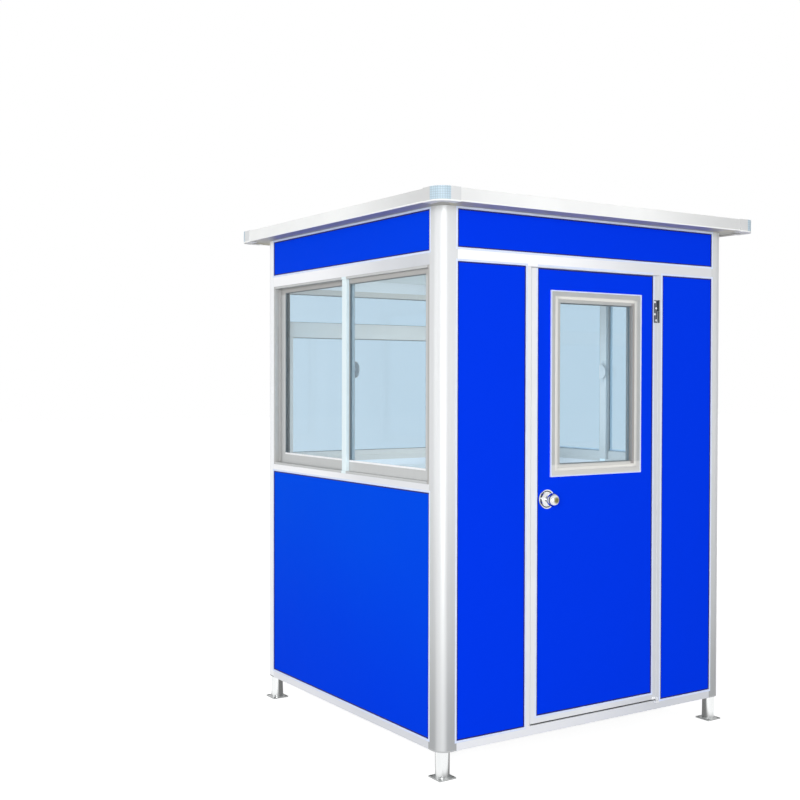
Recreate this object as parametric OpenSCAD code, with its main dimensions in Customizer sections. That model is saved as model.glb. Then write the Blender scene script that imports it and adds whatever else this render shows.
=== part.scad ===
// Security guard booth: insulated panels held in aluminium profiles, on four feet,
// with a hinged door, sliding side windows, a fixed back window and a flat roof.
// Millimetres. +Z is up, the door faces -Y, the origin is the middle of the footprint on the ground.

/* [Cabin] */
// Width across the outer faces of the side walls
booth_w = 1600; // [1500:5:2000]
// Depth across the outer faces of the front and back walls
booth_d = 1505; // [1300:5:2000]
// Height of the lower wall panels that shows
lower_panel_h = 980; // [900:5:1150]
// Height of the doorway above the sill rails
window_h = 882; // [820:1:1000]
// Distance that the side and back head rails are below the front one
side_head_drop = 12; // [0:1:30]
// Height of the fascia panels that shows
fascia_h = 160; // [100:5:260]
// Thickness of the wall panels
panel_t = 50; // [48:1:60]

/* [Aluminium profiles] */
// Width of a corner post on each face
post_w = 80; // [76:1:100]
// Radius of a corner post's outer corner
post_r = 50; // [20:1:70]
// Wall of the hollow posts
post_wall = 3; // [2:0.5:5]
// Height of the bottom rails
bottom_rail_h = 40; // [36:1:60]
// Height of the sill rails under the windows
sill_rail_h = 33; // [28:1:50]
// Height of the head rails over the door and windows
head_rail_h = 55; // [45:1:80]
// Thickness of the profile walls
flange_t = 2; // [1.5:0.1:3]
// Depth to which a panel goes into its channel
channel_depth = 10; // [6:1:12]

/* [Feet] */
// Height of the cabin's underside above the ground
foot_h = 110; // [80:1:200]
// Radius of the round leg
foot_r = 29; // [20:1:33]
// Side of the square base plate
foot_plate_w = 80; // [78:1:110]
// Thickness of the base plate and of the plate under the post
foot_plate_t = 6; // [4:1:10]
// Distance between the anchor holes
anchor_spacing = 62; // [60:1:64]
// Radius of an anchor hole
anchor_r = 4.5; // [3:0.5:5]

/* [Floor] */
// Thickness of the floor deck
deck_t = 15; // [12:1:18]
// Height of a floor joist
joist_h = 20; // [16:1:22]
// Width of a floor joist
joist_w = 40; // [30:1:60]
// Number of floor joists
joist_count = 4; // [3:1:6]

/* [Roof] */
// Roof overhang past the side walls
roof_over_x = 90; // [60:5:150]
// Roof overhang past the front and back walls
roof_over_y = 110; // [60:5:150]
// Thickness of the roof panel
roof_panel_t = 50; // [40:1:80]
// Radius of the roof's corners
roof_corner_r = 56; // [45:1:100]
// Thickness of the roof edge trim
roof_trim_t = 1.2; // [1:0.1:2]
// Width of the trim's lips on the top and bottom of the roof
roof_lip_w = 40; // [25:1:42]
// Length of a corner cap along each edge, past the rounded corner
roof_cap_leg = 48; // [20:1:80]
// Thickness of a corner cap over the trim
roof_cap_t = 2; // [1:0.5:3]

/* [Door] */
// Width of the door leaf
leaf_w = 720; // [650:1:760]
// Sideways place of the leaf's middle
door_x = 15.5; // [-40:0.5:40]
// Thickness of the leaf's panel
leaf_core_t = 36; // [30:1:38]
// Width of the edge trim on the leaf's latch side
leaf_trim_w = 32; // [28:1:40]
// Width of the edge trim on the leaf's hinge side
leaf_trim_hinge_w = 28; // [26:1:36]
// Width of the edge trim at the leaf's bottom
leaf_trim_bottom_w = 30; // [20:1:60]
// Width of the jamb on the latch side
latch_jamb_w = 26; // [24:0.5:40]
// Width of the jamb on the hinge side
hinge_jamb_w = 25; // [22:0.5:40]
// Width of the door stop behind the leaf
stop_w = 15; // [10:1:20]

/* [Door window] */
// Width across the moulding
door_window_w = 517; // [400:1:540]
// Height across the moulding
door_window_h = 778; // [500:1:800]
// Distance from the leaf's top to the moulding
door_window_drop = 88; // [60:1:150]
// Width of the moulding
moulding_w = 51; // [40:1:60]
// Height of the moulding above the panel
moulding_t = 9; // [7:0.5:14]
// Width of the raised lip along the moulding's outer edge
lip_w = 5; // [3:0.5:8]
// Width of the moulding's round bead
bead_w = 16; // [14:1:20]
// Width of the sleeve that lines the cut-out
sleeve_t = 12; // [10:1:16]

/* [Lock] */
// Distance from the leaf's edge to the knob's axis
backset = 84.5; // [81:0.5:95]
// Distance from the moulding down to the knob's axis
knob_drop = 91; // [60:1:140]
// Radius of the knob's ball
knob_r = 27.5; // [22:0.5:29]
// Distance that the knob stands out from the panel
knob_reach = 65; // [62:1:80]
// Radius of the knob's neck
neck_r = 10; // [8:0.5:12]
// Radius of the rose
rose_r = 42; // [34:0.5:44]
// Thickness of the rose
rose_t = 10; // [7:0.5:10.5]

/* [Hinge] */
// Height of the hinge
hinge_h = 100; // [80:1:140]
// Width of the plate on the leaf
hinge_plate_w = 21; // [16:1:23]
// Thickness of the hinge plates
hinge_plate_t = 2.2; // [1.5:0.1:2.3]
// Distance from the leaf's top to the hinge's middle
hinge_drop = 157; // [100:1:300]
// Radius of the knuckle
knuckle_r = 4.5; // [4.2:0.1:6]
// Radius of the hinge pin
hinge_pin_r = 2.5; // [2:0.1:3]
// Height of each half of the bottom pivot
pivot_h = 10; // [8:1:16]

/* [Windows] */
// Width of the frame of a side window
frame_w = 11; // [10:1:30]
// Depth of a sash
sash_t = 15; // [12:0.5:15]
// Width of a sash's stiles
stile_w = 45; // [35:1:60]
// Height of a sash's bottom rail
sash_rail_h = 46; // [36:1:56]
// Height of a sash's top rail
sash_top_h = 25; // [22:1:50]
// Depth to which a sash goes into the frame
track_depth = 6; // [5:0.5:7]
// Depth from the wall's face to the outer sash
outer_sash_y = 18; // [15:0.5:18]
// Width of the mullion in front of the meeting stiles
mullion_w = 38; // [28:1:46]
// Depth from the wall's face to the mullion
mullion_y = 3; // [0:0.5:8]
// Gap between the outer and the inner sash
sash_space = 3; // [2:0.5:3]
// Thickness of the glass
glass_t = 5; // [3:0.5:6]
// Depth to which glass goes into its groove
glass_bite = 8; // [6:1:10]
// Width of the frame of the back window
back_frame_w = 26; // [20:1:40]
// Height of the back window's transom
transom_h = 75; // [50:1:90]
// Height of the back window's top light
top_light_h = 142; // [100:1:250]
// Width of the sunk frame round the back window's lower pane
sunk_frame_w = 24; // [14:1:40]
// Depth of the sunk frame below the frame's faces
sunk_depth = 12; // [4:1:14]
// Height of the window lock
lock_h = 110; // [80:1:140]
// Distance from the middle of the sash up to the window lock
lock_rise = 25; // [0:1:100]

/* [Fits] */
// Clearance on each face of a panel in its channel
panel_fit = 0.3; // [0.1:0.1:0.6]
// Gap between a panel's edge and the bottom of its channel
edge_gap = 0.5; // [0.2:0.1:1]
// Gap round the door leaf, and behind it
door_gap = 5; // [5:0.5:6]
// Gap under the door leaf
door_bottom_gap = 6; // [5:0.5:12]
// Clearance on each face of a sash in its track
sash_fit = 0.5; // [0.3:0.1:0.7]
// Clearance on each face of the glass in its groove
glass_fit = 0.3; // [0.2:0.1:0.6]
// Radial clearance of the hinge pins and the knob's neck
pin_fit = 0.05; // [0.02:0.01:0.1]
// Clearance between a fixed and a turning hinge piece
hinge_fit = 1; // [0.5:0.1:1.5]

/* [Hidden] */
$fn = 64;

// How far a cut runs past the face that it opens
past = 1;
slot_w = panel_t + 2 * panel_fit;
wall_t = slot_w + 2 * flange_t;
panel_y = flange_t + panel_fit;

// Heights, from the ground up
rail_z = foot_h;
wall_z = rail_z + bottom_rail_h;
sill_z = wall_z + lower_panel_h;
window_z = sill_z + sill_rail_h;
head_z = window_z + window_h;
fascia_z = head_z + head_rail_h;
soffit_z = fascia_z + fascia_h;
side_head_z = head_z - side_head_drop;
side_fascia_z = side_head_z + head_rail_h;

// Lengths between the corner posts
clear_w = booth_w - 2 * post_w;
clear_d = booth_d - 2 * post_w;

// Door leaf and doorway, seen from outside with x to the right and y inwards
leaf_t = leaf_core_t + 2 * (panel_fit + flange_t);
leaf_x0 = door_x - leaf_w / 2;
leaf_x1 = door_x + leaf_w / 2;
leaf_z0 = wall_z + door_bottom_gap;
leaf_z1 = head_z - door_gap;
leaf_h = leaf_z1 - leaf_z0;
core_y = flange_t + panel_fit;
doorway_x0 = leaf_x0 - door_gap;
doorway_x1 = leaf_x1 + door_gap;
latch_jamb_x = doorway_x0 - latch_jamb_w;
hinge_jamb_x = doorway_x1 + hinge_jamb_w;
stop_y = leaf_t + door_gap;

// Door window and lock
pane_z1 = leaf_z1 - door_window_drop;
pane_z0 = pane_z1 - door_window_h;
cut_w = door_window_w - 2 * (moulding_w - sleeve_t);
cut_h = door_window_h - 2 * (moulding_w - sleeve_t);
door_glass_y = core_y + (leaf_core_t - glass_t) / 2;
door_glass_w = cut_w - 2 * edge_gap;
door_glass_h = cut_h - edge_gap;
knob_x = leaf_x0 + backset;
knob_z = pane_z0 - knob_drop;
knob_ball_z = knob_reach - 0.9 * knob_r;
lock_bore_r = neck_r + 3;

// Hinge axis, in front of the gap between the leaf and its jamb
axis_x = leaf_x1 + door_gap / 2;
axis_y = -(knuckle_r + hinge_fit + 0.5);
hinge_z = leaf_z1 - hinge_drop;
pivot_z = wall_z - pivot_h;

// Sliding windows, in the plane of a side wall
sight_w = clear_d - 2 * frame_w;
sight_h = side_head_z - window_z - 2 * frame_w;
inner_sash_y = outer_sash_y + sash_t + sash_space;
sash_edge = sight_w / 2 + track_depth - edge_gap;
sash_w = sash_edge + stile_w / 2;
sash_z0 = window_z + frame_w - track_depth;
sash_h = sight_h + 2 * track_depth - 2 * edge_gap;

// Back window
back_sight_w = clear_w - 2 * back_frame_w;
top_light_z = side_head_z - back_frame_w - top_light_h;
low_light_z = window_z + back_frame_w + sunk_frame_w;
low_light_h = top_light_z - transom_h - low_light_z;
low_light_w = back_sight_w - 2 * sunk_frame_w;
// Width, bottom and height of the two lights
back_lights = [[low_light_w, low_light_z, low_light_h], [back_sight_w, top_light_z, top_light_h]];
back_glass_y = (wall_t - glass_t) / 2;

// Roof
roof_w = booth_w + 2 * roof_over_x;
roof_d = booth_d + 2 * roof_over_y;
roof_skin = roof_trim_t + panel_fit;

white = "#eceef0";
silver = "#d4d8dc";
blue = "#0a3be8";
glass_tint = "#b9cbd8";
steel = "#c4c7ca";

// A child drawn for the front left corner, moved to the corner on the given sides
module at_corner(right, back) {
    mirror([right ? 1 : 0, 0, 0])
        mirror([0, back ? 1 : 0, 0])
            translate([-booth_w / 2, -booth_d / 2, 0])
                children();
}

// Walls: x runs along the wall to the right as seen from outside, y runs inwards from its face
module on_front() {
    translate([0, -booth_d / 2, 0]) children();
}

module on_back() {
    mirror([0, 1, 0]) on_front() children();
}

module on_left() {
    translate([-booth_w / 2, 0, 0]) rotate([0, 0, -90]) children();
}

module on_right() {
    mirror([1, 0, 0]) on_left() children();
}

module block(x0, x1, y0, y1, z0, z1) {
    translate([x0, y0, z0]) cube([x1 - x0, y1 - y0, z1 - z0]);
}

// Hollow rail along a wall, with panel channels between the given ends in its top and bottom
module rail(length, z0, z1, top_slots = [], bottom_slots = []) {
    hollow_z0 = z0 + flange_t + (len(bottom_slots) > 0 ? channel_depth : 0);
    hollow_z1 = z1 - flange_t - (len(top_slots) > 0 ? channel_depth : 0);
    difference() {
        block(-length / 2, length / 2, 0, wall_t, z0, z1);
        block(-length / 2 - past, length / 2 + past, flange_t, wall_t - flange_t, hollow_z0, hollow_z1);
        for (slot = top_slots)
            block(slot[0], slot[1], flange_t, wall_t - flange_t, z1 - channel_depth, z1 + past);
        for (slot = bottom_slots)
            block(slot[0], slot[1], flange_t, wall_t - flange_t, z0 - past, z0 + channel_depth);
    }
}

function full_slot(length) = [[-length / 2 - past, length / 2 + past]];

// Panel between two faces; its bottom edge stands in the channel below
module panel(x0, x1, z0, z1) {
    color(blue)
        block(x0 - channel_depth + edge_gap, x1 + channel_depth - edge_gap,
              panel_y, panel_y + panel_t, z0 - channel_depth, z1);
}

// Feet: base plate, round leg and the plate that closes the post

// Square with its corner at the origin rounded
module rounded_corner(size, r) {
    intersection() {
        square(size);
        union() {
            translate([r, r]) circle(r);
            translate([r, 0]) square(size);
            translate([0, r]) square(size);
        }
    }
}

module foot() {
    translate([post_w / 2, post_w / 2, 0])
        difference() {
            translate([-foot_plate_w / 2, -foot_plate_w / 2, 0])
                cube([foot_plate_w, foot_plate_w, foot_plate_t]);
            for (x = [-1, 1], y = [-1, 1])
                translate([x * anchor_spacing / 2, y * anchor_spacing / 2, -past])
                    cylinder(r = anchor_r, h = foot_plate_t + 2 * past);
        }
    translate([post_w / 2, post_w / 2, 0]) cylinder(r = foot_r, h = foot_h + foot_plate_t);
    translate([0, 0, foot_h]) linear_extrude(foot_plate_t) rounded_corner(post_w, post_r);
}

module base_feet() {
    color(steel)
        for (right = [false, true], back = [false, true])
            at_corner(right, back) foot();
}

// Corner post: a hollow angle with a round outside, a panel channel in each end and an open inner corner
module post_profile() {
    chamber = post_w - channel_depth - post_wall;
    difference() {
        rounded_corner(post_w, post_r);
        translate([wall_t, wall_t]) square(post_w);
        translate([post_w - channel_depth, flange_t]) square([post_w, slot_w]);
        translate([flange_t, post_w - channel_depth]) square([slot_w, post_w]);
        difference() {
            translate([post_wall, post_wall])
                rounded_corner(chamber - post_wall, post_r - post_wall);
            translate([wall_t - post_wall, wall_t - post_wall]) square(post_w);
        }
    }
}

module corner_post(right, back) {
    post_z = foot_h + foot_plate_t;
    color(silver)
        at_corner(right, back)
            translate([0, 0, post_z]) linear_extrude(soffit_z - post_z) post_profile();
}

module corner_post_front_left() {
    corner_post(false, false);
}

module corner_post_front_right() {
    corner_post(true, false);
}

module corner_post_back_left() {
    corner_post(false, true);
}

module corner_post_back_right() {
    corner_post(true, true);
}

// Bottom rails

module bottom_rail_front() {
    color(white)
        on_front()
            rail(clear_w, rail_z, wall_z,
                 top_slots = [[-clear_w / 2 - past, latch_jamb_x + channel_depth],
                              [hinge_jamb_x - channel_depth, clear_w / 2 + past]]);
}

module bottom_rail_back() {
    color(white) on_back() rail(clear_w, rail_z, wall_z, top_slots = full_slot(clear_w));
}

module bottom_rail_left() {
    color(white) on_left() rail(clear_d, rail_z, wall_z, top_slots = full_slot(clear_d));
}

module bottom_rail_right() {
    color(white) on_right() rail(clear_d, rail_z, wall_z, top_slots = full_slot(clear_d));
}

// Floor: a deck on joists that run from the front rail to the back rail

module floor_joists() {
    span = booth_w - 2 * wall_t - joist_w;
    color(steel)
        for (i = [0 : joist_count - 1])
            translate([-span / 2 + span * (i + 0.5) / joist_count - joist_w / 2, 0, 0])
                block(0, joist_w, -booth_d / 2 + wall_t, booth_d / 2 - wall_t, rail_z, rail_z + joist_h);
}

module floor_deck() {
    color("#8b8f92")
        block(-booth_w / 2 + wall_t + edge_gap, booth_w / 2 - wall_t - edge_gap,
              -booth_d / 2 + wall_t + edge_gap, booth_d / 2 - wall_t - edge_gap,
              rail_z + joist_h, rail_z + joist_h + deck_t);
}

// Lower wall panels, and the sill rails on top of them

module lower_panel_left() {
    on_left() panel(-clear_d / 2, clear_d / 2, wall_z, sill_z + channel_depth - edge_gap);
}

module lower_panel_right() {
    on_right() panel(-clear_d / 2, clear_d / 2, wall_z, sill_z + channel_depth - edge_gap);
}

module lower_panel_back() {
    on_back() panel(-clear_w / 2, clear_w / 2, wall_z, sill_z + channel_depth - edge_gap);
}

module sill_rails() {
    color(white) {
        on_left() rail(clear_d, sill_z, window_z, bottom_slots = full_slot(clear_d));
        on_right() rail(clear_d, sill_z, window_z, bottom_slots = full_slot(clear_d));
        on_back() rail(clear_w, sill_z, window_z, bottom_slots = full_slot(clear_w));
    }
}

// Front wall beside the doorway

module front_panel_latch_side() {
    on_front() panel(-clear_w / 2, latch_jamb_x, wall_z, head_z + channel_depth - edge_gap);
}

module front_panel_hinge_side() {
    on_front() panel(hinge_jamb_x, clear_w / 2, wall_z, head_z + channel_depth - edge_gap);
}

// Jamb with a panel channel in its outer edge and a stop lip behind the leaf; x runs into the doorway
module jamb(width) {
    difference() {
        union() {
            block(0, width, 0, wall_t, wall_z, head_z);
            block(0, width + stop_w, stop_y, wall_t, wall_z, head_z);
        }
        block(-past, channel_depth, flange_t, wall_t - flange_t, wall_z - past, head_z + past);
        block(channel_depth + flange_t, width - flange_t, flange_t, wall_t - flange_t,
              wall_z - past, head_z + past);
    }
}

module door_jambs() {
    color(white)
        on_front() {
            translate([latch_jamb_x, 0, 0]) jamb(latch_jamb_w);
            translate([hinge_jamb_x, 0, 0]) mirror([1, 0, 0]) jamb(hinge_jamb_w);
        }
}

// Head rails over the door and windows

module head_rail_front() {
    color(white)
        on_front() {
            rail(clear_w, head_z, fascia_z,
                 top_slots = full_slot(clear_w),
                 bottom_slots = [[-clear_w / 2 - past, latch_jamb_x + channel_depth],
                                 [hinge_jamb_x - channel_depth, clear_w / 2 + past]]);
            block(doorway_x0 + stop_w, doorway_x1 - stop_w, stop_y, wall_t, head_z - stop_w, head_z + flange_t);
        }
}

module head_rails() {
    color(white) {
        on_left() rail(clear_d, side_head_z, side_fascia_z, top_slots = full_slot(clear_d));
        on_right() rail(clear_d, side_head_z, side_fascia_z, top_slots = full_slot(clear_d));
        on_back() rail(clear_w, side_head_z, side_fascia_z, top_slots = full_slot(clear_w));
    }
}

// Fascia panels, up to the roof

module fascia_panel_front() {
    on_front() panel(-clear_w / 2, clear_w / 2, fascia_z, soffit_z);
}

module fascia_panel_back() {
    on_back() panel(-clear_w / 2, clear_w / 2, side_fascia_z, soffit_z);
}

module fascia_panel_left() {
    on_left() panel(-clear_d / 2, clear_d / 2, side_fascia_z, soffit_z);
}

module fascia_panel_right() {
    on_right() panel(-clear_d / 2, clear_d / 2, side_fascia_z, soffit_z);
}

// Sliding windows: a frame with two tracks and a mullion, the sash nearer the door in the outer one

module track(y0) {
    block(-sight_w / 2 - track_depth, sight_w / 2 + track_depth, y0 - sash_fit, y0 + sash_t + sash_fit,
          sash_z0, sash_z0 + sight_h + 2 * track_depth);
}

module sliding_frame() {
    difference() {
        block(-clear_d / 2, clear_d / 2, 0, wall_t, window_z, side_head_z);
        block(-sight_w / 2, sight_w / 2, -past, wall_t + past, window_z + frame_w, side_head_z - frame_w);
        track(outer_sash_y);
        track(inner_sash_y);
    }
    block(stile_w / 2 - mullion_w, stile_w / 2, mullion_y, outer_sash_y - sash_fit,
          window_z + frame_w / 2, side_head_z - frame_w / 2);
}

module window_frame_left() {
    color(white) on_left() sliding_frame();
}

module window_frame_right() {
    color(white) on_right() sliding_frame();
}

// Sash with a groove round its opening for the glass, from x = 0
module sash() {
    mid_y = sash_t / 2;
    difference() {
        block(0, sash_w, 0, sash_t, 0, sash_h);
        block(stile_w, sash_w - stile_w, -past, sash_t + past, sash_rail_h, sash_h - sash_top_h);
        block(stile_w - glass_bite, sash_w - stile_w + glass_bite,
              mid_y - glass_t / 2 - glass_fit, mid_y + glass_t / 2 + glass_fit,
              sash_rail_h - glass_bite, sash_h - sash_top_h + glass_bite);
    }
}

module sash_glass() {
    block(stile_w - glass_bite + edge_gap, sash_w - stile_w + glass_bite - edge_gap,
          (sash_t - glass_t) / 2, (sash_t + glass_t) / 2,
          sash_rail_h - glass_bite, sash_h - sash_top_h + glass_bite - edge_gap);
}

module in_outer_track() {
    translate([-stile_w / 2, outer_sash_y, sash_z0]) children();
}

module in_inner_track() {
    translate([-sash_edge, inner_sash_y, sash_z0]) children();
}

module sash_pair() {
    in_outer_track() sash();
    in_inner_track() sash();
}

module sash_glass_pair() {
    in_outer_track() sash_glass();
    in_inner_track() sash_glass();
}

module window_sashes_left() {
    color(white) on_left() sash_pair();
}

module window_sashes_right() {
    color(white) on_right() sash_pair();
}

module window_glass_left() {
    color(glass_tint, 0.5) on_left() sash_glass_pair();
}

module window_glass_right() {
    color(glass_tint, 0.5) on_right() sash_glass_pair();
}

// Crescent lock on the inside of the inner sash's meeting stile
module crescent_lock() {
    plate_t = 4;
    body_w = 0.45 * stile_w;
    body_t = 12;
    lock_z = sash_z0 + sash_h / 2 + lock_rise;
    translate([0, inner_sash_y + sash_t, lock_z]) {
        block(-body_w / 2, body_w / 2, 0, plate_t, -lock_h / 2, lock_h / 2);
        translate([0, plate_t, 0]) rotate([-90, 0, 0]) cylinder(r = body_w / 2, h = body_t);
        translate([0, body_t, 0])
            rotate([-90, 0, 0])
                linear_extrude(plate_t)
                    intersection() {
                        circle(lock_h / 3);
                        translate([-body_w / 2, -lock_h / 2]) square([stile_w, lock_h]);
                    }
    }
}

module window_locks() {
    color(silver) {
        on_left() crescent_lock();
        on_right() crescent_lock();
    }
}

// Fixed back window: a top light over a transom, and a lower pane

module back_light(light, grow, y0, y1) {
    block(-light[0] / 2 - grow, light[0] / 2 + grow, y0, y1, light[1] - grow, light[1] + light[2] + grow);
}

// The sunk frame at the sides and bottom of the lower pane
module sunk_frame(y0, y1) {
    block(-back_sight_w / 2, back_sight_w / 2, y0, y1, low_light_z - sunk_frame_w, low_light_z + low_light_h);
}

module window_frame_back() {
    color(white)
        on_back()
            difference() {
                block(-clear_w / 2, clear_w / 2, 0, wall_t, window_z, side_head_z);
                for (light = back_lights) {
                    back_light(light, 0, -past, wall_t + past);
                    back_light(light, glass_bite, back_glass_y - glass_fit, back_glass_y + glass_t + glass_fit);
                }
                sunk_frame(-past, sunk_depth);
                sunk_frame(wall_t - sunk_depth, wall_t + past);
            }
}

module window_glass_back() {
    color(glass_tint, 0.5)
        on_back()
            for (light = back_lights)
                block(-light[0] / 2 - glass_bite + edge_gap, light[0] / 2 + glass_bite - edge_gap,
                      back_glass_y, back_glass_y + glass_t,
                      light[1] - glass_bite, light[1] + light[2] + glass_bite - edge_gap);
}

// Door leaf

module lock_bore(r) {
    translate([knob_x, -past, knob_z]) rotate([-90, 0, 0]) cylinder(r = r, h = leaf_t + 2 * past);
}

module door_leaf() {
    color(blue)
        on_front()
            difference() {
                block(leaf_x0 + flange_t, leaf_x1 - flange_t, core_y, core_y + leaf_core_t,
                      leaf_z0 + flange_t, leaf_z1);
                block(door_x - cut_w / 2, door_x + cut_w / 2, -past, leaf_t + past,
                      pane_z0 + moulding_w - sleeve_t, pane_z1 - moulding_w + sleeve_t);
                lock_bore(lock_bore_r);
            }
}

// Channel trim round the leaf's stiles and bottom
module door_edge_trim() {
    color(white)
        on_front()
            difference() {
                block(leaf_x0, leaf_x1, 0, leaf_t, leaf_z0, leaf_z1);
                block(leaf_x0 + flange_t, leaf_x1 - flange_t, flange_t, leaf_t - flange_t,
                      leaf_z0 + flange_t, leaf_z1 + past);
                block(leaf_x0 + leaf_trim_w, leaf_x1 - leaf_trim_hinge_w, -past, leaf_t + past,
                      leaf_z0 + leaf_trim_bottom_w, leaf_z1 + past);
            }
}

// Section of the door window's moulding: x runs from its outer edge inwards, y stands up from the panel
module moulding_section(sleeve_depth) {
    edge_t = 0.4 * moulding_t;
    lip_t = 0.75 * moulding_t;
    bead_x = moulding_w - sleeve_t - bead_w / 2;
    square([moulding_w, edge_t]);
    square([lip_w, lip_t]);
    intersection() {
        square([moulding_w, moulding_t]);
        translate([bead_x, moulding_t - bead_w / 2]) circle(bead_w / 2);
    }
    translate([moulding_w - sleeve_t + edge_gap, -sleeve_depth]) square([sleeve_t - edge_gap, sleeve_depth + edge_t]);
}

// A section swept round a rectangle with mitred corners; y of the section stands up from z = 0
module mitred_ring(width, height) {
    reach = 2 * max(width, height);
    for (turn = [0 : 3]) {
        across = turn % 2 == 0 ? width : height;
        along = turn % 2 == 0 ? height : width;
        rotate([0, 0, 90 * turn])
            intersection() {
                translate([-across / 2, along / 2, 0])
                    rotate([90, 0, 0]) linear_extrude(along) children();
                translate([-across / 2, 0, -reach / 2])
                    linear_extrude(reach)
                        polygon([[0, -along / 2], [along / 2, 0], [0, along / 2]]);
            }
    }
}

module door_window_half() {
    mitred_ring(door_window_w, door_window_h)
        moulding_section((leaf_core_t - glass_t) / 2 - glass_fit);
}

module door_window_frame() {
    mid_z = (pane_z0 + pane_z1) / 2;
    color(white)
        on_front() {
            translate([door_x, core_y, mid_z]) rotate([90, 0, 0]) door_window_half();
            translate([door_x, core_y + leaf_core_t, mid_z]) rotate([-90, 0, 0]) door_window_half();
        }
}

module door_glass() {
    color(glass_tint, 0.5)
        on_front()
            block(door_x - door_glass_w / 2, door_x + door_glass_w / 2, door_glass_y, door_glass_y + glass_t,
                  pane_z0 + moulding_w - sleeve_t, pane_z1 - moulding_w + sleeve_t - edge_gap);
}

// Lock: a rose on each face of the leaf, and two knobs on one spindle

module on_knob_axis() {
    on_front() translate([knob_x, core_y, knob_z]) rotate([90, 0, 0]) children();
}

// Raised rim, sunk floor and a bell that rises to the knob's neck
module rose() {
    rim_t = 0.45 * rose_t;
    difference() {
        union() {
            difference() {
                cylinder(r1 = rose_r, r2 = rose_r - rim_t / 2, h = rim_t);
                translate([0, 0, rim_t / 2]) cylinder(r = rose_r - rim_t, h = rose_t);
            }
            cylinder(r1 = 0.72 * rose_r, r2 = 1.5 * neck_r, h = rose_t);
        }
        translate([0, 0, -past]) cylinder(r = neck_r + pin_fit, h = rose_t + 2 * past);
    }
}

module door_lock_roses() {
    color(steel) {
        on_knob_axis() rose();
        on_knob_axis() translate([0, 0, -leaf_core_t]) mirror([0, 0, 1]) rose();
    }
}

// Half section of a knob: neck, flare and a ball with a flat face
module knob_section() {
    intersection() {
        union() {
            square([neck_r, knob_ball_z]);
            translate([0, knob_ball_z]) circle(knob_r);
        }
        square([knob_r, knob_reach]);
    }
}

module door_knobs() {
    key_w = 1.6;
    key_l = 9;
    key_depth = 4;
    color("#d8d6d0")
        on_knob_axis()
            difference() {
                union() {
                    rotate_extrude() knob_section();
                    translate([0, 0, -leaf_core_t]) mirror([0, 0, 1]) rotate_extrude() knob_section();
                    translate([0, 0, -leaf_core_t]) cylinder(r = neck_r, h = leaf_core_t);
                }
                translate([-key_w / 2, -key_l / 2, knob_reach - key_depth])
                    cube([key_w, key_l, key_depth + past]);
            }
}

// Hinge: the leaf's plate and upper knuckle turn on a pin that stands in the jamb's lower knuckle.
// The bottom pivot on the same axis carries the leaf's lower corner.

module on_hinge_axis(z) {
    on_front() translate([axis_x, axis_y, z]) children();
}

module door_hinge_leaf() {
    plate_x1 = -knuckle_r - hinge_fit;
    bore_r = hinge_pin_r + pin_fit;
    color(steel) {
        on_hinge_axis(hinge_z)
            difference() {
                union() {
                    block(plate_x1 - hinge_plate_w, plate_x1, -axis_y - hinge_plate_t, -axis_y,
                          -hinge_h / 2, hinge_h / 2);
                    block(plate_x1 - past, 0, -axis_y - hinge_plate_t, -axis_y, hinge_fit / 2, hinge_h / 2);
                    translate([0, 0, hinge_fit / 2]) cylinder(r = knuckle_r, h = (hinge_h - hinge_fit) / 2);
                }
                translate([0, 0, -past]) cylinder(r = bore_r, h = hinge_h);
            }
        on_hinge_axis(leaf_z0)
            difference() {
                union() {
                    block(plate_x1 - hinge_plate_w, 0, -axis_y - hinge_plate_t, -axis_y, 0, pivot_h);
                    cylinder(r = knuckle_r, h = pivot_h);
                }
                translate([0, 0, -past]) cylinder(r = bore_r, h = pivot_h + 2 * past);
            }
    }
}

module jamb_hinge_leaf() {
    color(steel) {
        on_hinge_axis(hinge_z) {
            translate([0, 0, -hinge_h / 2]) cylinder(r = knuckle_r, h = (hinge_h - hinge_fit) / 2);
            translate([0, 0, -hinge_h / 2]) cylinder(r = hinge_pin_r, h = hinge_h);
            block(door_gap / 2 - hinge_plate_t, door_gap / 2, 0, -axis_y + leaf_t / 2, -hinge_h / 2, -hinge_fit / 2);
        }
        on_hinge_axis(pivot_z) {
            block(-hinge_plate_w / 2, hinge_plate_w / 2, -knuckle_r, -axis_y, 0, pivot_h);
            cylinder(r = hinge_pin_r, h = pivot_h + door_bottom_gap + pivot_h);
        }
    }
}

// Roof: a flat panel with a folded trim round its edge and rounded caps at its corners

module rounded_rectangle(width, depth, r) {
    square([width - 2 * r, depth], center = true);
    square([width, depth - 2 * r], center = true);
    for (x = [-1, 1], y = [-1, 1])
        translate([x * (width / 2 - r), y * (depth / 2 - r)]) circle(r);
}

module roof_panel() {
    color(white)
        translate([0, 0, soffit_z])
            linear_extrude(roof_panel_t)
                rounded_rectangle(roof_w - 2 * roof_skin, roof_d - 2 * roof_skin, roof_corner_r - roof_skin);
}

// Trim section: x runs inwards from the roof's edge, y up from the panel's underside
module roof_trim_section() {
    difference() {
        translate([0, -roof_skin]) square([roof_lip_w, roof_panel_t + 2 * roof_skin]);
        translate([roof_trim_t, -panel_fit]) square([roof_lip_w, roof_panel_t + 2 * panel_fit]);
    }
}

module roof_trim(length) {
    translate([0, length / 2, soffit_z]) rotate([90, 0, 0]) linear_extrude(length) roof_trim_section();
}

module roof_edge_trims() {
    color(white)
        for (turn = [0 : 3]) {
            across = turn % 2 == 0 ? roof_w : roof_d;
            along = turn % 2 == 0 ? roof_d : roof_w;
            rotate([0, 0, 90 * turn])
                translate([-across / 2, 0, 0])
                    roof_trim(along - 2 * roof_corner_r);
        }
}

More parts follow.
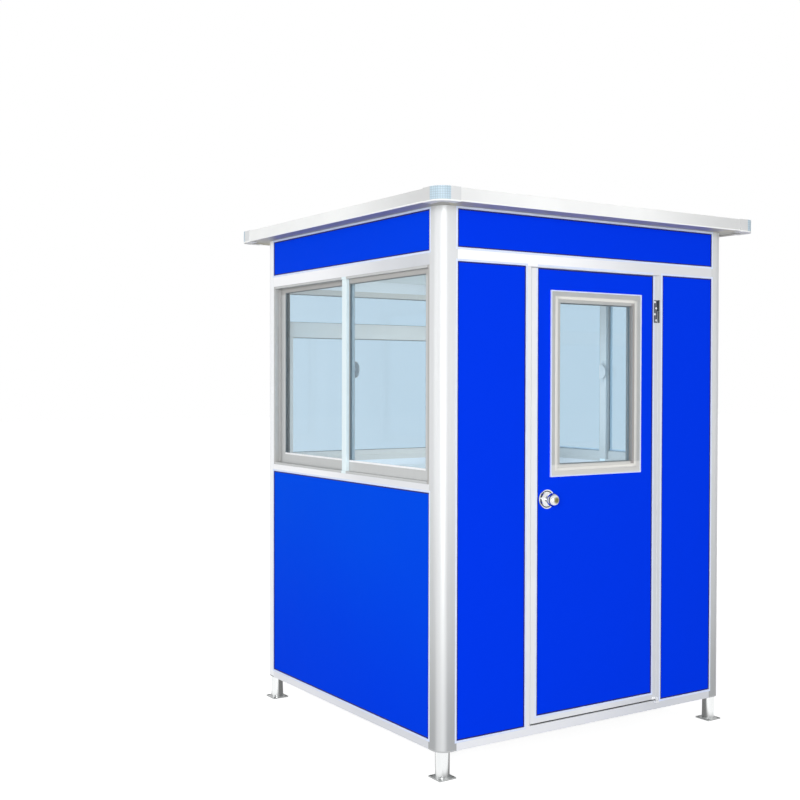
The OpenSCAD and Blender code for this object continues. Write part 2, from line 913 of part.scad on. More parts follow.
// Cap section, fitted over the trim; x runs inwards from the roof's edge as before
module roof_cap_section() {
    difference() {
        translate([-roof_cap_t, -roof_skin - roof_cap_t])
            square([roof_lip_w + roof_cap_t, roof_panel_t + 2 * (roof_skin + roof_cap_t)]);
        translate([0, -roof_skin]) square([roof_lip_w + past, roof_panel_t + 2 * roof_skin]);
    }
}

// Cap with its corner's centre at the origin: the round, and a leg along each edge
module roof_corner_cap() {
    rotate([0, 0, 180])
        rotate_extrude(angle = 90)
            translate([roof_corner_r, 0]) mirror([1, 0]) roof_cap_section();
    translate([-roof_corner_r, roof_cap_leg, 0])
        rotate([90, 0, 0]) linear_extrude(roof_cap_leg) roof_cap_section();
    translate([0, -roof_corner_r, 0])
        rotate([90, 0, 90]) linear_extrude(roof_cap_leg) roof_cap_section();
}

module roof_corner_caps() {
    color("#e4eef2")
        for (right = [false, true], back = [false, true])
            at_corner(right, back)
                translate([-roof_over_x + roof_corner_r, -roof_over_y + roof_corner_r, soffit_z])
                    roof_corner_cap();
}

base_feet();
corner_post_front_left();
corner_post_front_right();
corner_post_back_left();
corner_post_back_right();
bottom_rail_front();
bottom_rail_back();
bottom_rail_left();
bottom_rail_right();
floor_joists();
floor_deck();
lower_panel_left();
lower_panel_right();
lower_panel_back();
sill_rails();
front_panel_latch_side();
front_panel_hinge_side();
door_jambs();
head_rail_front();
head_rails();
fascia_panel_front();
fascia_panel_back();
fascia_panel_left();
fascia_panel_right();
window_frame_left();
window_frame_right();
window_frame_back();
window_sashes_left();
window_sashes_right();
window_glass_left();
window_glass_right();
window_glass_back();
window_locks();
door_leaf();
door_edge_trim();
door_window_frame();
door_glass();
door_lock_roses();
door_knobs();
door_hinge_leaf();
jamb_hinge_leaf();
roof_panel();
roof_edge_trims();
roof_corner_caps();
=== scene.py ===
"""Security guard booth: finishes, small fittings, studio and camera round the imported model."""

import math
from functools import partial
from itertools import product

import bmesh
import bpy
from bpy.props import FloatProperty, FloatVectorProperty, IntProperty, PointerProperty
from mathutils import Matrix, Quaternion, Vector


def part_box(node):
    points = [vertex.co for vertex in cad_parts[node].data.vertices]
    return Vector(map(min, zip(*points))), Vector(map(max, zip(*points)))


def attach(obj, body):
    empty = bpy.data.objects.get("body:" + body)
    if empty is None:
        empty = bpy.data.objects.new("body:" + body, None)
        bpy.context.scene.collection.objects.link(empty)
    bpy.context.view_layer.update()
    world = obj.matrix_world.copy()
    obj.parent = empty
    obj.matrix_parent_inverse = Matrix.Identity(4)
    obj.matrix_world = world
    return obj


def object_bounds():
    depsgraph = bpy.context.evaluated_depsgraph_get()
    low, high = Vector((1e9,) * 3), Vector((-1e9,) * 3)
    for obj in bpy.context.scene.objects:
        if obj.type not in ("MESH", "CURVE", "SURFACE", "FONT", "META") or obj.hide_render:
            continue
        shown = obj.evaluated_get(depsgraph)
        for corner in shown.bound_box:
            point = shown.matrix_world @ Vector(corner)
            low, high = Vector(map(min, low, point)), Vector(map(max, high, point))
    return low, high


bl_info = {
    "name": "Security guard booth",
    "version": (1, 0, 0),
    "blender": (4, 5, 0),
    "location": "3D View > Sidebar > Guard booth",
    "description": "Finishes, fittings and a studio for a guard booth",
    "category": "Object",
}

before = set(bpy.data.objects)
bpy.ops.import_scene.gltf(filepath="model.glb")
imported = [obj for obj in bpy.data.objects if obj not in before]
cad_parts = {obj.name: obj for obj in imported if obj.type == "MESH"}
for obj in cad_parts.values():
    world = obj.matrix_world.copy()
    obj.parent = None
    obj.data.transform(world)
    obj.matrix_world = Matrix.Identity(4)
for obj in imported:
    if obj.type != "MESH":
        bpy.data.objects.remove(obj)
cad_low, cad_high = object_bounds()

MM = 0.001

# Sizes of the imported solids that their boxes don't give.
POST_ROUND = 50 * MM
PANEL_RECESS = 2.3 * MM
GLASS_BITE = 8 * MM
DOOR_GLASS_BITE = 12 * MM
DOOR_GAP = 5 * MM
LATCH_TRIM_W = 30 * MM
HINGE_TRIM_W = 26 * MM
BOTTOM_TRIM_H = 28 * MM
HINGE_PLATE_H = 100 * MM
HINGE_PLATE_T = 2.2 * MM

# Stretches of a pattern: none, and along upright profiles.
EVEN = (1.0, 1.0, 1.0)
DIE_LINES = (1.0, 1.0, 0.01)
BRUSHED = (1.0, 1.0, 0.02)

# Settings of nodes that mix colours, and of those that rise softly between two values.
COLOUR = {"data_type": "RGBA"}
SOFT = {"interpolation_type": "SMOOTHSTEP"}

WALL_PANELS = ("lower_panel_left", "lower_panel_right", "lower_panel_back",
               "front_panel_latch_side", "front_panel_hinge_side", "fascia_panel_front",
               "fascia_panel_back", "fascia_panel_left", "fascia_panel_right")
SLIDING_PANES = ("window_glass_left", "window_glass_right")


# Properties


def linear(code):
    """Turns an sRGB hex colour into linear red, green and blue."""
    parts = [int(code[i:i + 2], 16) / 255 for i in (1, 3, 5)]
    return tuple(p / 12.92 if p <= 0.04045 else ((p + 0.055) / 1.055) ** 2.4 for p in parts)


def colour_prop(name, description, code):
    """Colour that a user may change."""
    return FloatVectorProperty(name=name, description=description, subtype="COLOR", size=3,
                               min=0.0, max=1.0, default=linear(code))


def size_prop(name, description, millimetres):
    """Length that a user may change."""
    return FloatProperty(name=name, description=description, unit="LENGTH", subtype="DISTANCE",
                         min=0.0, default=millimetres * MM)


def angle_prop(name, description, degrees):
    """Angle that a user may change."""
    return FloatProperty(name=name, description=description, subtype="ANGLE", default=math.radians(degrees))


def power_prop(name, description, watts):
    """Power of a lamp that a user may change."""
    return FloatProperty(name=name, description=description, subtype="POWER", unit="POWER",
                         min=0.0, default=watts)


class BoothFinishes(bpy.types.PropertyGroup):
    """Colours of the booth's finishes."""

    panel_blue: colour_prop("Panel blue", "Paint on the outer side of the wall panels", "#0037EA")
    # Painted light: the lighter blue on the left wall, most of all towards its top.
    panel_lit_blue: colour_prop("Panel bright blue", "Paint on the side that the sun has bleached", "#004EEA")
    panel_inside: colour_prop("Panel inside", "Paint on the inner side of the wall panels", "#E4E7E8")
    rail_white: colour_prop("Rail white", "Powder coat on jambs and door trim", "#E7E9EB")
    # Painted light: the lit white of the rails; also the white beads under the sliding panes, which stand in
    # for a highlight.
    rail_lit_white: colour_prop("Rail bright", "Powder coat on the rails where it is clean", "#FAFBFD")
    # Painted shade: the shaded grey of the rails, and of the jambs and door trim towards the hinge.
    rail_shaded_grey: colour_prop("Rail grey", "Powder coat on the rails where it has greyed", "#CDD0D5")
    post_silver: colour_prop("Post silver", "Anodised corner posts", "#BFC1C2")
    # Painted light: the lit colour of the back left post and of the posts' upper half.
    post_lit: colour_prop("Post bright", "Corner posts where the sun has bleached them", "#F4F6F8")
    # Painted highlight along the middle of each post's round edge.
    post_highlight: colour_prop("Post rubbed", "Round edge of the corner posts", "#E9EBEB")
    post_foot_grey: colour_prop("Post splashed", "Foot of the corner posts", "#A5A7A8")
    back_silver: colour_prop("Back silver", "Anodised frame of the back window", "#DED8D1")
    sash_silver: colour_prop("Sash silver", "Anodised window sashes and frames", "#C2C4C4")
    # Painted shade: the darker grey on the sashes' top rails, under the head rail, and on the frames'
    # upright ends beside the posts.
    sash_shade: colour_prop("Sash shade", "Weathered ends and heads of the sliding windows", "#ADACAA")
    # Painted highlight: the pale strips beside the panels and the moulding's lip stand in for bright lines
    # along the edges.
    edge_highlight: colour_prop("Pale edge", "Cover strips and pale edges", "#DBE5FC")
    mullion_pale: colour_prop("Pale mullion", "Coat on the mullions of the sliding windows", "#E4F2F6")
    # Moulding round the door window: the grey stands partly for shade in the hollow; the bead's colour is a
    # painted highlight, the paler bottom painted light, and the reveal by the hinge painted shade.
    moulding_grey: colour_prop("Moulding grey", "Hollow of the moulding round the door window", "#B1B3B2")
    moulding_bead_highlight: colour_prop("Moulding bead", "Round bead of the moulding", "#E6E5DF")
    moulding_lit_bottom: colour_prop("Moulding pale", "Bottom of the moulding, which rain has washed", "#D4D3CF")
    reveal: colour_prop("Reveal", "Inner edge of the moulding on the hinge side", "#9C9895")
    glass_tint: colour_prop("Glass tint", "What one pane lets through", "#D8E8F2")
    foot_steel: colour_prop("Foot steel", "Polished steel of the legs", "#EEF0F0")
    plate_grey: colour_prop("Plate grey", "Base plates and top plates of the feet", "#B8BABA")
    cap_grey: colour_prop("Cap grey", "Caps on the anchor holes", "#7C7E7E")
    zinc_dark: colour_prop("Zinc dark", "Darkest crystals on the galvanised joists", "#8E9293")
    zinc_pale: colour_prop("Zinc pale", "Palest crystals on the galvanised joists", "#B4B8B9")
    steel: colour_prop("Steel", "Stainless steel of fittings", "#C8CACB")
    screw_bright: colour_prop("Screw bright", "Nickel plating of the hinge's screws", "#F4F5F6")
    chrome: colour_prop("Chrome", "Plating of knobs and roses", "#E6E8E9")
    lacquer: colour_prop("Lacquer", "Tarnished lacquer round the key cylinder", "#8E8C66")
    # Painted shadow on the knob's neck and painted dark reflections round the rose and the knob.
    painted_dark_band: colour_prop("Groove", "Blackened grooves of knobs and roses", "#101A1A")
    brass: colour_prop("Brass", "Key cylinder", "#7C774A")
    roof_trim: colour_prop("Roof trim", "Edge trim of the roof", "#F6F7F6")
    # A darker coat on the roof's edges, by the front corners.
    roof_darker_edges: colour_prop("Roof dust", "Trim of the roof where it is dusty", "#D2D3D3")
    soffit: colour_prop("Soffit", "Underside of the roof at front and back", "#CFC9B0")
    # The underside at the sides is darker.
    soffit_side: colour_prop("Soffit side", "Dusty underside of the roof at the sides", "#B4B2AA")
    roof_cap: colour_prop("Roof cap", "Ribbed round of the corner caps", "#BDD2DF")
    roof_cap_leg: colour_prop("Roof cap legs", "Smooth legs of the corner caps", "#DEE0E1")
    deck_grey: colour_prop("Deck grey", "Vinyl on the floor deck", "#8F9497")
    rubber: colour_prop("Rubber", "Seals round the door", "#E6E9EC")
    # Partly painted shade: the black sweep also stands in for the shade in the gap under the door.
    sweep: colour_prop("Sweep", "Rubber sweep under the door", "#1E2024")
    # Partly painted shade: the navy lip also stands in for the shade in each panel's recess.
    gasket: colour_prop("Gasket", "Rubber lip between panel and channel", "#02106E")
    hinge_grey: colour_prop("Hinge grey", "Steel of the hinge", "#54565F")
    # Painted shade on the hinge's knuckle.
    knuckle_shade: colour_prop("Knuckle grey", "Oiled steel of the knuckle", "#30383A")
    glazing: colour_prop("Glazing rubber", "Gasket between glass and sash", "#848B8E")
    # Painted shade: the dark liners stand in for the shade at the ends of the sliding windows.
    liner_shade: colour_prop("Window liner", "Plastic liner at the ends of a sliding window", "#4C4A47")
    # Painted shade: a dark finish in the slots, keyways and screw crosses.
    dark: colour_prop("Dark recess", "Inside of slots and keyways", "#2A2A2A")


class BoothFittings(bpy.types.PropertyGroup):
    """Sizes of the small fittings."""

    screw_r: size_prop("Screw radius", "Radius of a hinge screw's head", 4.9)
    screw_h: size_prop("Screw height", "Height of a hinge screw's head", 1.6)
    bead_w: size_prop("Bead width", "Width of a glazing gasket", 3.0)
    bead_h: size_prop("Bead height", "Height of a glazing gasket on the glass", 3.5)
    plate_w: size_prop("Base plate width", "Width of a foot's base plate", 80.0)
    plate_t: size_prop("Base plate thickness", "Thickness of a foot's base plate", 6.0)
    anchor_spacing: size_prop("Anchor spacing", "Distance between the anchor holes of a base plate", 62.0)
    cap_r: size_prop("Cap radius", "Radius of the cap on an anchor hole", 5.8)
    bottom_bead_h: size_prop("Bottom bead height", "Height of the white bead under a sliding pane", 8.0)
    bottom_bead_t: size_prop("Bottom bead thickness", "Thickness of the white bead under a pane", 4.6)
    seal_w: size_prop("Seal width", "Width of the door seal in its gap", 3.0)
    seal_depth: size_prop("Seal depth", "Depth of the door seal", 9.0)
    seal_inset: size_prop("Seal inset", "Distance from the wall's face to the seal", 0.8)
    plug_r: size_prop("Key plug radius", "Radius of the key cylinder's face", 8.0)
    edge_r: size_prop("Edge radius", "Rounding on the edges of metal profiles", 0.8)
    plate_corner_r: size_prop("Plate corner", "Corner radius of the latch plate", 4.0)
    gasket_w: size_prop("Gasket width", "Width of the panel gasket that shows", 5.5)
    gasket_h: size_prop("Gasket height", "Height of the gasket above the panel", 1.6)
    panel_bite: size_prop("Panel bite", "Depth of a panel in its channel", 9.5)
    strip_w: size_prop("Cover strip width", "Width of the strip round each panel", 8.5)
    strip_h: size_prop("Cover strip height", "Height of the strip above the profile", 0.5)
    liner_depth: size_prop("Liner depth", "Depth of a window's plastic liner", 14.0)
    liner_w: size_prop("Liner width", "Width of a window's plastic liner", 9.0)
    mullion_w: size_prop("Mullion width", "Width of a window's mullion", 38.0)
    mullion_edge: size_prop("Mullion edge", "Distance from the window's middle to the mullion's front", 22.5)
    sweep_h: size_prop("Sweep height", "Height of the sweep under the door", 4.0)


class BoothStudio(bpy.types.PropertyGroup):
    """Camera, light and floor."""

    camera_place: FloatVectorProperty(
        name="Camera place", description="Where the camera stands", subtype="TRANSLATION",
        unit="LENGTH", size=3, default=(-3.4215, -4.4751, 1.572))
    camera_yaw: angle_prop("Camera yaw", "Turn of the view to the right of +Y", 33.152)
    camera_pitch: angle_prop("Camera pitch", "Fall of the view below the horizon", 0.925)
    camera_roll: angle_prop("Camera roll", "Turn about the view's axis", 0.119)
    lens: FloatProperty(
        name="Lens", description="Focal length in millimetres on a 36 mm sensor", min=1.0, default=52.56)
    sky: FloatProperty(
        name="Sky", description="Strength of the even light from all round", min=0.0, default=0.34)
    key: power_prop("Key light", "Power of the main lamp, before the near corner", 850.0)
    fill: power_prop("Fill light", "Power of the lamp before the door", 130.0)
    side: power_prop("Side light", "Power of the lamp beside the window", 95.0)
    cabin: power_prop("Cabin light", "Power of the lamp inside the booth", 20.0)
    floor_grey: colour_prop("Floor grey", "Colour that the floor gives to bounced light", "#B4B4B4")
    floor_size: FloatProperty(
        name="Floor size", description="Half the side of the studio floor", unit="LENGTH",
        subtype="DISTANCE", default=40.0)
    floor_segments: IntProperty(
        name="Floor segments", description="Divisions of the studio floor", min=1, default=4)


# Nodes


def fill(socket, value):
    """Puts a value on a socket, or links it from a socket or from a node's first open output."""
    if isinstance(value, bpy.types.Node):
        value = next(output for output in value.outputs if output.enabled)
    if isinstance(value, bpy.types.NodeSocket):
        socket.id_data.links.new(value, socket)
    else:
        socket.default_value = value


def add_node(tree, kind, *inputs, **named):
    """Adds a node. The inputs go to its open sockets in their order.
    Of the named values, those with a capital are inputs too, and the others are settings."""
    node = tree.nodes.new("ShaderNode" + kind)
    for key, value in named.items():
        if key[0].islower():
            setattr(node, key, value)
    for socket, value in zip([s for s in node.inputs if s.enabled], inputs):
        fill(socket, value)
    for key, value in named.items():
        if key[0].isupper():
            fill(node.inputs[key.replace("_", " ")], value)
    return node


def start_material(name, **sockets):
    """A Principled material with constants on its own sockets.
    Gives the material, a function that adds nodes to it, its shader and the place on the piece."""
    material = bpy.data.materials.new(name)
    material.use_nodes = True
    node = partial(add_node, material.node_tree)
    shader = material.node_tree.nodes["Principled BSDF"]
    for key, value in sockets.items():
        shader.inputs[key.replace("_", " ")].default_value = value
    return material, node, shader, node("TexCoord").outputs["Object"]


def per_mm(size):
    """Scale of a texture whose features are this many millimetres across."""
    return 1 / (size * MM)


def rgba(colour):
    """Colour with full alpha."""
    return tuple(colour) + (1.0,)


def shade(colour, factor):
    """Colour made darker or lighter, with full alpha."""
    return tuple(min(1.0, c * factor) for c in colour) + (1.0,)


def spot_of(node, place, middle=(0.0, 0.0, 0.0)):
    """Sockets of the distances from a middle along X, Y and Z, all without sign."""
    moved = node("VectorMath", place, middle, operation="SUBTRACT")
    return node("SeparateXYZ", node("VectorMath", moved, operation="ABSOLUTE")).outputs


def clouds(node, place, size, stretch):
    """Noise whose features are the given size in millimetres, stretched along the axes."""
    mapped = node("Mapping", Vector=place, Scale=stretch)
    return node("TexNoise", Vector=mapped, Scale=per_mm(size), Detail=3.0)


def roughen(node, shader, place, size, low, high, stretch=EVEN):
    """Lets a noise of the given size in millimetres move the roughness between two values."""
    noise = clouds(node, place, size, stretch)
    fill(shader.inputs["Roughness"], node("MapRange", noise, 0.3, 0.7, low, high))
    return noise


def mottle(node, place, size, colour_a, colour_b, stretch=EVEN):
    """Colour that drifts between two near values over the given size in millimetres."""
    drift = node("MapRange", clouds(node, place, size, stretch), 0.3, 0.7, **SOFT)
    return node("Mix", drift, colour_a, colour_b, **COLOUR)


def add_coats(node, tint, coats):
    """Lays further coats over a colour, each with the share of the surface that it covers."""
    for share, coat in coats:
        tint = node("Mix", share, tint, coat, **COLOUR)
    return tint


# Painted light and shade, and other coats: the share of a finish by the place on the booth, with places in
# metres in its frame


def lit_rails(node, place):
    """Share of painted light on a rail: the back half on the sides, and the left half in front. The bottom
    rails are kept darker."""
    spot = node("SeparateXYZ", place).outputs
    least = node("MapRange", spot["Z"], 1.3, 1.8, 0.5, 0.05, **SOFT)
    back = node("MapRange", spot["Y"], cad_low.y * 0.8, 0.35, **SOFT)
    side = node("Math", back, least, operation="MAXIMUM")
    front = node("MapRange", spot["X"], -0.3, 0.45, 1.0, 0.3, **SOFT)
    on_side = node("Math", spot["X"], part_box("bottom_rail_left")[0].x + 10 * MM, operation="LESS_THAN")
    bottom_dimming = node("MapRange", spot["Z"], 0.15, 0.25, 0.6, 1.0, **SOFT)
    return node("Math", node("Mix", on_side, front, side), bottom_dimming, operation="MULTIPLY")


def lit_posts(node, place):
    """Share of painted light on the corner posts: full on the back left post, some on the upper half."""
    spot = node("SeparateXYZ", place).outputs
    upper = node("MapRange", spot["Z"], 0.5, 1.4, 0.0, 0.3, **SOFT)
    back = node("Math", spot["Y"], 0.0, operation="GREATER_THAN")
    left = node("Math", spot["X"], 0.0, operation="LESS_THAN")
    return node("Math", upper, node("Math", back, left, operation="MULTIPLY"), operation="MAXIMUM")


def darker_post_feet(node, place):
    """Share of a darker coat at the foot of the corner posts."""
    height = node("SeparateXYZ", place).outputs["Z"]
    return node("MapRange", height, 0.7, 0.12, **SOFT)


def post_round_highlight(node, place):
    """Share of the painted highlight along the middle of a corner post's round edge."""
    across, deep = spot_of(node, place)[:2]
    outward = node("Math", across, deep, operation="ADD")
    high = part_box("corner_post_back_right")[1]
    corner = high.x + high.y - POST_ROUND * (2 - math.sqrt(2))
    return node("MapRange", outward, corner - 12 * MM, corner - 1 * MM, 0.0, 0.4, **SOFT)


def hinge_side_shade(node, place):
    """Share of painted shade on the jambs and the door's trim, towards the hinge."""
    across = node("SeparateXYZ", place).outputs["X"]
    return node("MapRange", across, -0.1, 0.35, 0.0, 0.8, **SOFT)


def shaded_sash_heads(node, place):
    """Share of painted shade on the sashes' top rails, under the head rail."""
    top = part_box("window_sashes_left")[1].z
    height = node("SeparateXYZ", place).outputs["Z"]
    return node("MapRange", height, top - 40 * MM, top - 26 * MM, **SOFT)


def shaded_frame_ends(node, place):
    """Share of painted shade on a window frame's upright ends, beside the corner posts."""
    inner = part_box("window_frame_left")[1].y - 16 * MM
    deep = node("SeparateXYZ", place).outputs["Y"]
    near = node("Math", deep, -inner, operation="LESS_THAN")
    far = node("Math", deep, inner, operation="GREATER_THAN")
    return node("Math", near, node("Math", far, 0.45, operation="MULTIPLY"), operation="MAXIMUM")


def mullion_share(node, place):
    """Share of a window frame that is its mullion, by the place along the wall."""
    fittings = bpy.context.scene.booth_fittings
    half = fittings.mullion_w / 2
    deep = spot_of(node, place, (0.0, half - fittings.mullion_edge, 0.0))["Y"]
    return node("Math", deep, half + 0.2 * MM, operation="LESS_THAN")


def roof_darker_edges(node, place):
    """Share of a darker coat on the roof's edges: most at the front left corner and towards the front right
    one.
    """
    spot = node("SeparateXYZ", place).outputs
    side = node("MapRange", spot["Y"], -0.1, -0.8, **SOFT)
    left = node("MapRange", spot["X"], -0.35, -0.85, 0.0, 0.45, **SOFT)
    right = node("MapRange", spot["X"], 0.1, 0.75, 0.0, 0.85, **SOFT)
    front = node("Math", left, right, operation="MAXIMUM")
    on_side = node("Math", spot["X"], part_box("roof_edge_trims")[0].x + 10 * MM, operation="LESS_THAN")
    return node("Mix", on_side, front, side)


# Materials


def coil_coated_steel(finishes):
    """Steel sheet of a sandwich panel, painted blue outside and off-white inside.
    The roller coat is smooth and low in gloss; the thin sheet waves a little over the foam."""
    material, node, shader, place = start_material("coil_coated_steel_blue", Specular_IOR_Level=0.01)
    size = node("VectorMath", place, operation="ABSOLUTE")
    half = (panel_middle("lower_panel_left", 0), panel_middle("fascia_panel_front", 1), 0.0)
    past = node("SeparateXYZ", node("VectorMath", size, half, operation="SUBTRACT")).outputs
    farther = node("Math", past["X"], past["Y"], operation="MAXIMUM")
    outside = node("Math", farther, 0.0, operation="GREATER_THAN")
    # Painted light: the wall on the left side is lighter, in slow clouds, most of all towards its top and
    # less on the fascia under the roof.
    spot = node("SeparateXYZ", place).outputs
    share = node("MapRange", spot["Z"], 0.1, 1.15, 0.3, 1.0, **SOFT)
    under_roof = node("MapRange", spot["Z"], 1.9, 2.1, 1.0, 0.35)
    left_wall = node("MapRange", spot["X"], -0.72, -0.79)
    slow = node("TexNoise", Vector=place, Scale=per_mm(700), Detail=2.0)
    cloudy = node("MapRange", slow, 0.0, 1.0, 0.7, 1.1)
    for part in (under_roof, left_wall, cloudy):
        share = node("Math", share, part, operation="MULTIPLY")
    paint = node("Mix", share, rgba(finishes.panel_blue), rgba(finishes.panel_lit_blue), **COLOUR)
    tint = node("Mix", outside, rgba(finishes.panel_inside), paint, **COLOUR)
    fill(shader.inputs["Base Color"], tint)
    roughen(node, shader, place, 60, 0.44, 0.52)
    wave = node("TexNoise", Vector=place, Scale=per_mm(380), Detail=1.0)
    waved = node("Bump", Height=wave, Distance=1.5 * MM, Strength=0.6)
    # The coat's orange peel is about 1.5 mm across; it is drawn at 4 mm so that it shows.
    peel = node("TexNoise", Vector=place, Scale=per_mm(4), Detail=2.0)
    peeled = node("Bump", Height=peel, Distance=0.05 * MM, Strength=0.3, Normal=waved)
    fill(shader.inputs["Normal"], peeled)
    return material


def powder_coated_aluminium(name, colour, spread, painted_light_colour):
    """Extruded profile with a white powder coat: even colour, soft shine, a very fine grain. Where a share
    by the place on the profile asks for it, it has another colour: painted light on the rails, painted shade
    on the jambs and door trim."""
    material, node, shader, place = start_material(name, Specular_IOR_Level=0.3)
    tint = mottle(node, place, 220, shade(colour, 0.97), shade(colour, 1.02))
    tint = add_coats(node, tint, [(spread(node, place), rgba(painted_light_colour))])
    fill(shader.inputs["Base Color"], tint)
    roughen(node, shader, place, 35, 0.32, 0.42)
    # The powder's grain is about 0.4 mm; it is drawn at 2.5 mm so that it shows.
    grain = node("TexNoise", Vector=place, Scale=per_mm(2.5), Detail=2.0)
    fill(shader.inputs["Normal"], node("Bump", Height=grain, Distance=0.03 * MM, Strength=0.35))
    return material


def anodised_aluminium(name, colour, metal, rough, placed_coats=()):
    """Extruded profile, etched and anodised: a satin metal with faint die lines along its length. Each
    placed coat is a share, by the place on the profile, and its colour; most are painted light and shade,
    with a painted highlight on the posts."""
    material, node, shader, place = start_material(name, Metallic=metal, Specular_IOR_Level=0.35)
    # Die lines are tenths of a millimetre apart; they are drawn 3 mm apart so that they show.
    tint = mottle(node, place, 3, shade(colour, 0.975), shade(colour, 1.02), DIE_LINES)
    tint = add_coats(node, tint, [(spread(node, place), rgba(extra_coat)) for spread, extra_coat in placed_coats])
    fill(shader.inputs["Base Color"], tint)
    lines = roughen(node, shader, place, 3, rough - 0.04, rough + 0.05, DIE_LINES)
    fill(shader.inputs["Normal"], node("Bump", Height=lines, Distance=0.03 * MM, Strength=0.35))
    return material


def drawn_steel_tube(finishes):
    """Stainless steel legs: drawn tube, polished, which mirrors the floor round it.
    The base plates are sawn from plain grey stock."""
    material, node, shader, place = start_material("polished_stainless_tube", Specular_IOR_Level=0.3)
    steel = finishes.foot_steel
    tint = mottle(node, place, 60, shade(steel, 0.94), shade(steel, 1.0), (1.0, 1.0, 0.15))
    low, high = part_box("base_feet")
    height = spot_of(node, place, (0.0, 0.0, (low.z + high.z) / 2))["Z"]
    # The plates at the top and the bottom are 6 mm thick.
    plate = node("Math", height, (high.z - low.z) / 2 - 7 * MM, operation="GREATER_THAN")
    fill(shader.inputs["Base Color"], add_coats(node, tint, [(plate, rgba(finishes.plate_grey))]))
    fill(shader.inputs["Metallic"], node("Math", 1.0, plate, operation="SUBTRACT"))
    roughen(node, shader, place, 30, 0.16, 0.22, (1.0, 1.0, 0.1))
    return material


def moulded_frame(finishes):
    """Moulding round the door window: a pale lip at its edge as a painted highlight, a grey hollow partly in
    painted shade, and a round bead with a painted highlight.
    """
    material, node, shader, place = start_material("powder_coated_moulding", Specular_IOR_Level=0.3)
    low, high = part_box("door_window_frame")
    half = (high - low) / 2
    away = spot_of(node, place, tuple((low + high) / 2))
    from_end = node("Math", half.x, away["X"], operation="SUBTRACT")
    from_top = node("Math", half.z, away["Z"], operation="SUBTRACT")
    # Distances from the moulding's outer edge: the lip is 5 mm wide, the bead runs from 23.5 to 38.5 mm.
    inward = node("Math", from_end, from_top, operation="MINIMUM")
    lip = node("Math", inward, 5.2 * MM, operation="LESS_THAN")
    past_bead = node("Math", inward, 31 * MM, operation="SUBTRACT")
    from_bead = node("Math", past_bead, operation="ABSOLUTE")
    bead = node("MapRange", from_bead, 8.5 * MM, 6.5 * MM, **SOFT)
    # Painted shade: the bead's highlight is weaker on its uprights, most of all on the side of the hinge.
    spot = node("SeparateXYZ", place).outputs
    hinge_side = node("MapRange", spot["X"], high.x - 60 * MM, high.x - 30 * MM, 1.0, 0.35, **SOFT)
    latch_side = node("MapRange", spot["X"], low.x + 60 * MM, low.x + 30 * MM, 1.0, 0.65, **SOFT)
    shaded_uprights = node("Math", hinge_side, latch_side, operation="MULTIPLY")
    bright = node("Math", bead, shaded_uprights, operation="MULTIPLY")
    # Painted light: the bottom of the moulding is paler.
    lit_bottom = node("MapRange", spot["Z"], low.z + 55 * MM, low.z + 45 * MM, 0.0, 0.8, **SOFT)
    # Painted shade on the inner reveal by the hinge.
    past_hollow = node("Math", inward, 41 * MM, operation="GREATER_THAN")
    by_hinge = node("Math", spot["X"], high.x - 60 * MM, operation="GREATER_THAN")
    reveal = node("Math", past_hollow, by_hinge, operation="MULTIPLY")
    grey = finishes.moulding_grey
    tint = add_coats(node, mottle(node, place, 90, shade(grey, 0.96), shade(grey, 1.02)), [
        (lit_bottom, rgba(finishes.moulding_lit_bottom)),
        (reveal, rgba(finishes.reveal)),
        (lip, rgba(finishes.edge_highlight)),
        (bright, rgba(finishes.moulding_bead_highlight)),
    ])
    fill(shader.inputs["Base Color"], tint)
    roughen(node, shader, place, 35, 0.28, 0.38)
    return material


def roof_coat(name, finishes):
    """Coil coat on the roof: white, darker at the corners, with a painted highlight on the lower fold, and
    an ivory underside.
    """
    material, node, shader, place = start_material(name, Specular_IOR_Level=0.3)
    low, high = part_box("roof_edge_trims")
    height = node("SeparateXYZ", place).outputs["Z"]
    across, deep = spot_of(node, place)[:2]
    at_side = node("Math", across, high.x - 2 * MM, operation="GREATER_THAN")
    at_front = node("Math", deep, high.y - 2 * MM, operation="GREATER_THAN")
    outer = node("Math", at_side, at_front, operation="MAXIMUM")
    within = node("Math", 1.0, outer, operation="SUBTRACT")
    # Painted highlight: the lower 6 mm of the trim stays white.
    highlight_fold = node("Math", height, low.z + 6 * MM, operation="LESS_THAN")
    lowest = node("Math", height, low.z + 4 * MM, operation="LESS_THAN")
    under = node("Math", lowest, within, operation="MULTIPLY")
    on_front = node("Math", deep, across, operation="GREATER_THAN")
    soffit = node("Mix", on_front, rgba(finishes.soffit_side), rgba(finishes.soffit), **COLOUR)
    white = finishes.roof_trim
    tint = add_coats(node, mottle(node, place, 220, shade(white, 0.97), shade(white, 1.01)), [
        (roof_darker_edges(node, place), rgba(finishes.roof_darker_edges)),
        (highlight_fold, rgba(white)),
        (under, soffit),
    ])
    fill(shader.inputs["Base Color"], tint)
    roughen(node, shader, place, 35, 0.36, 0.46)
    return material


def galvanised_steel(finishes):
    """Hot-dip galvanised steel of the joists: flat zinc crystals, each with its own grey and shine."""
    material, node, shader, place = start_material("galvanised_steel_spangle", Metallic=0.85)
    spangle = node("TexVoronoi", Vector=place, Scale=per_mm(14))
    grey = node("RGBToBW", spangle.outputs["Color"])
    tint = node("Mix", grey, rgba(finishes.zinc_dark), rgba(finishes.zinc_pale), **COLOUR)
    fill(shader.inputs["Base Color"], tint)
    fill(shader.inputs["Roughness"], node("MapRange", grey, 0.0, 1.0, 0.38, 0.58))
    return material


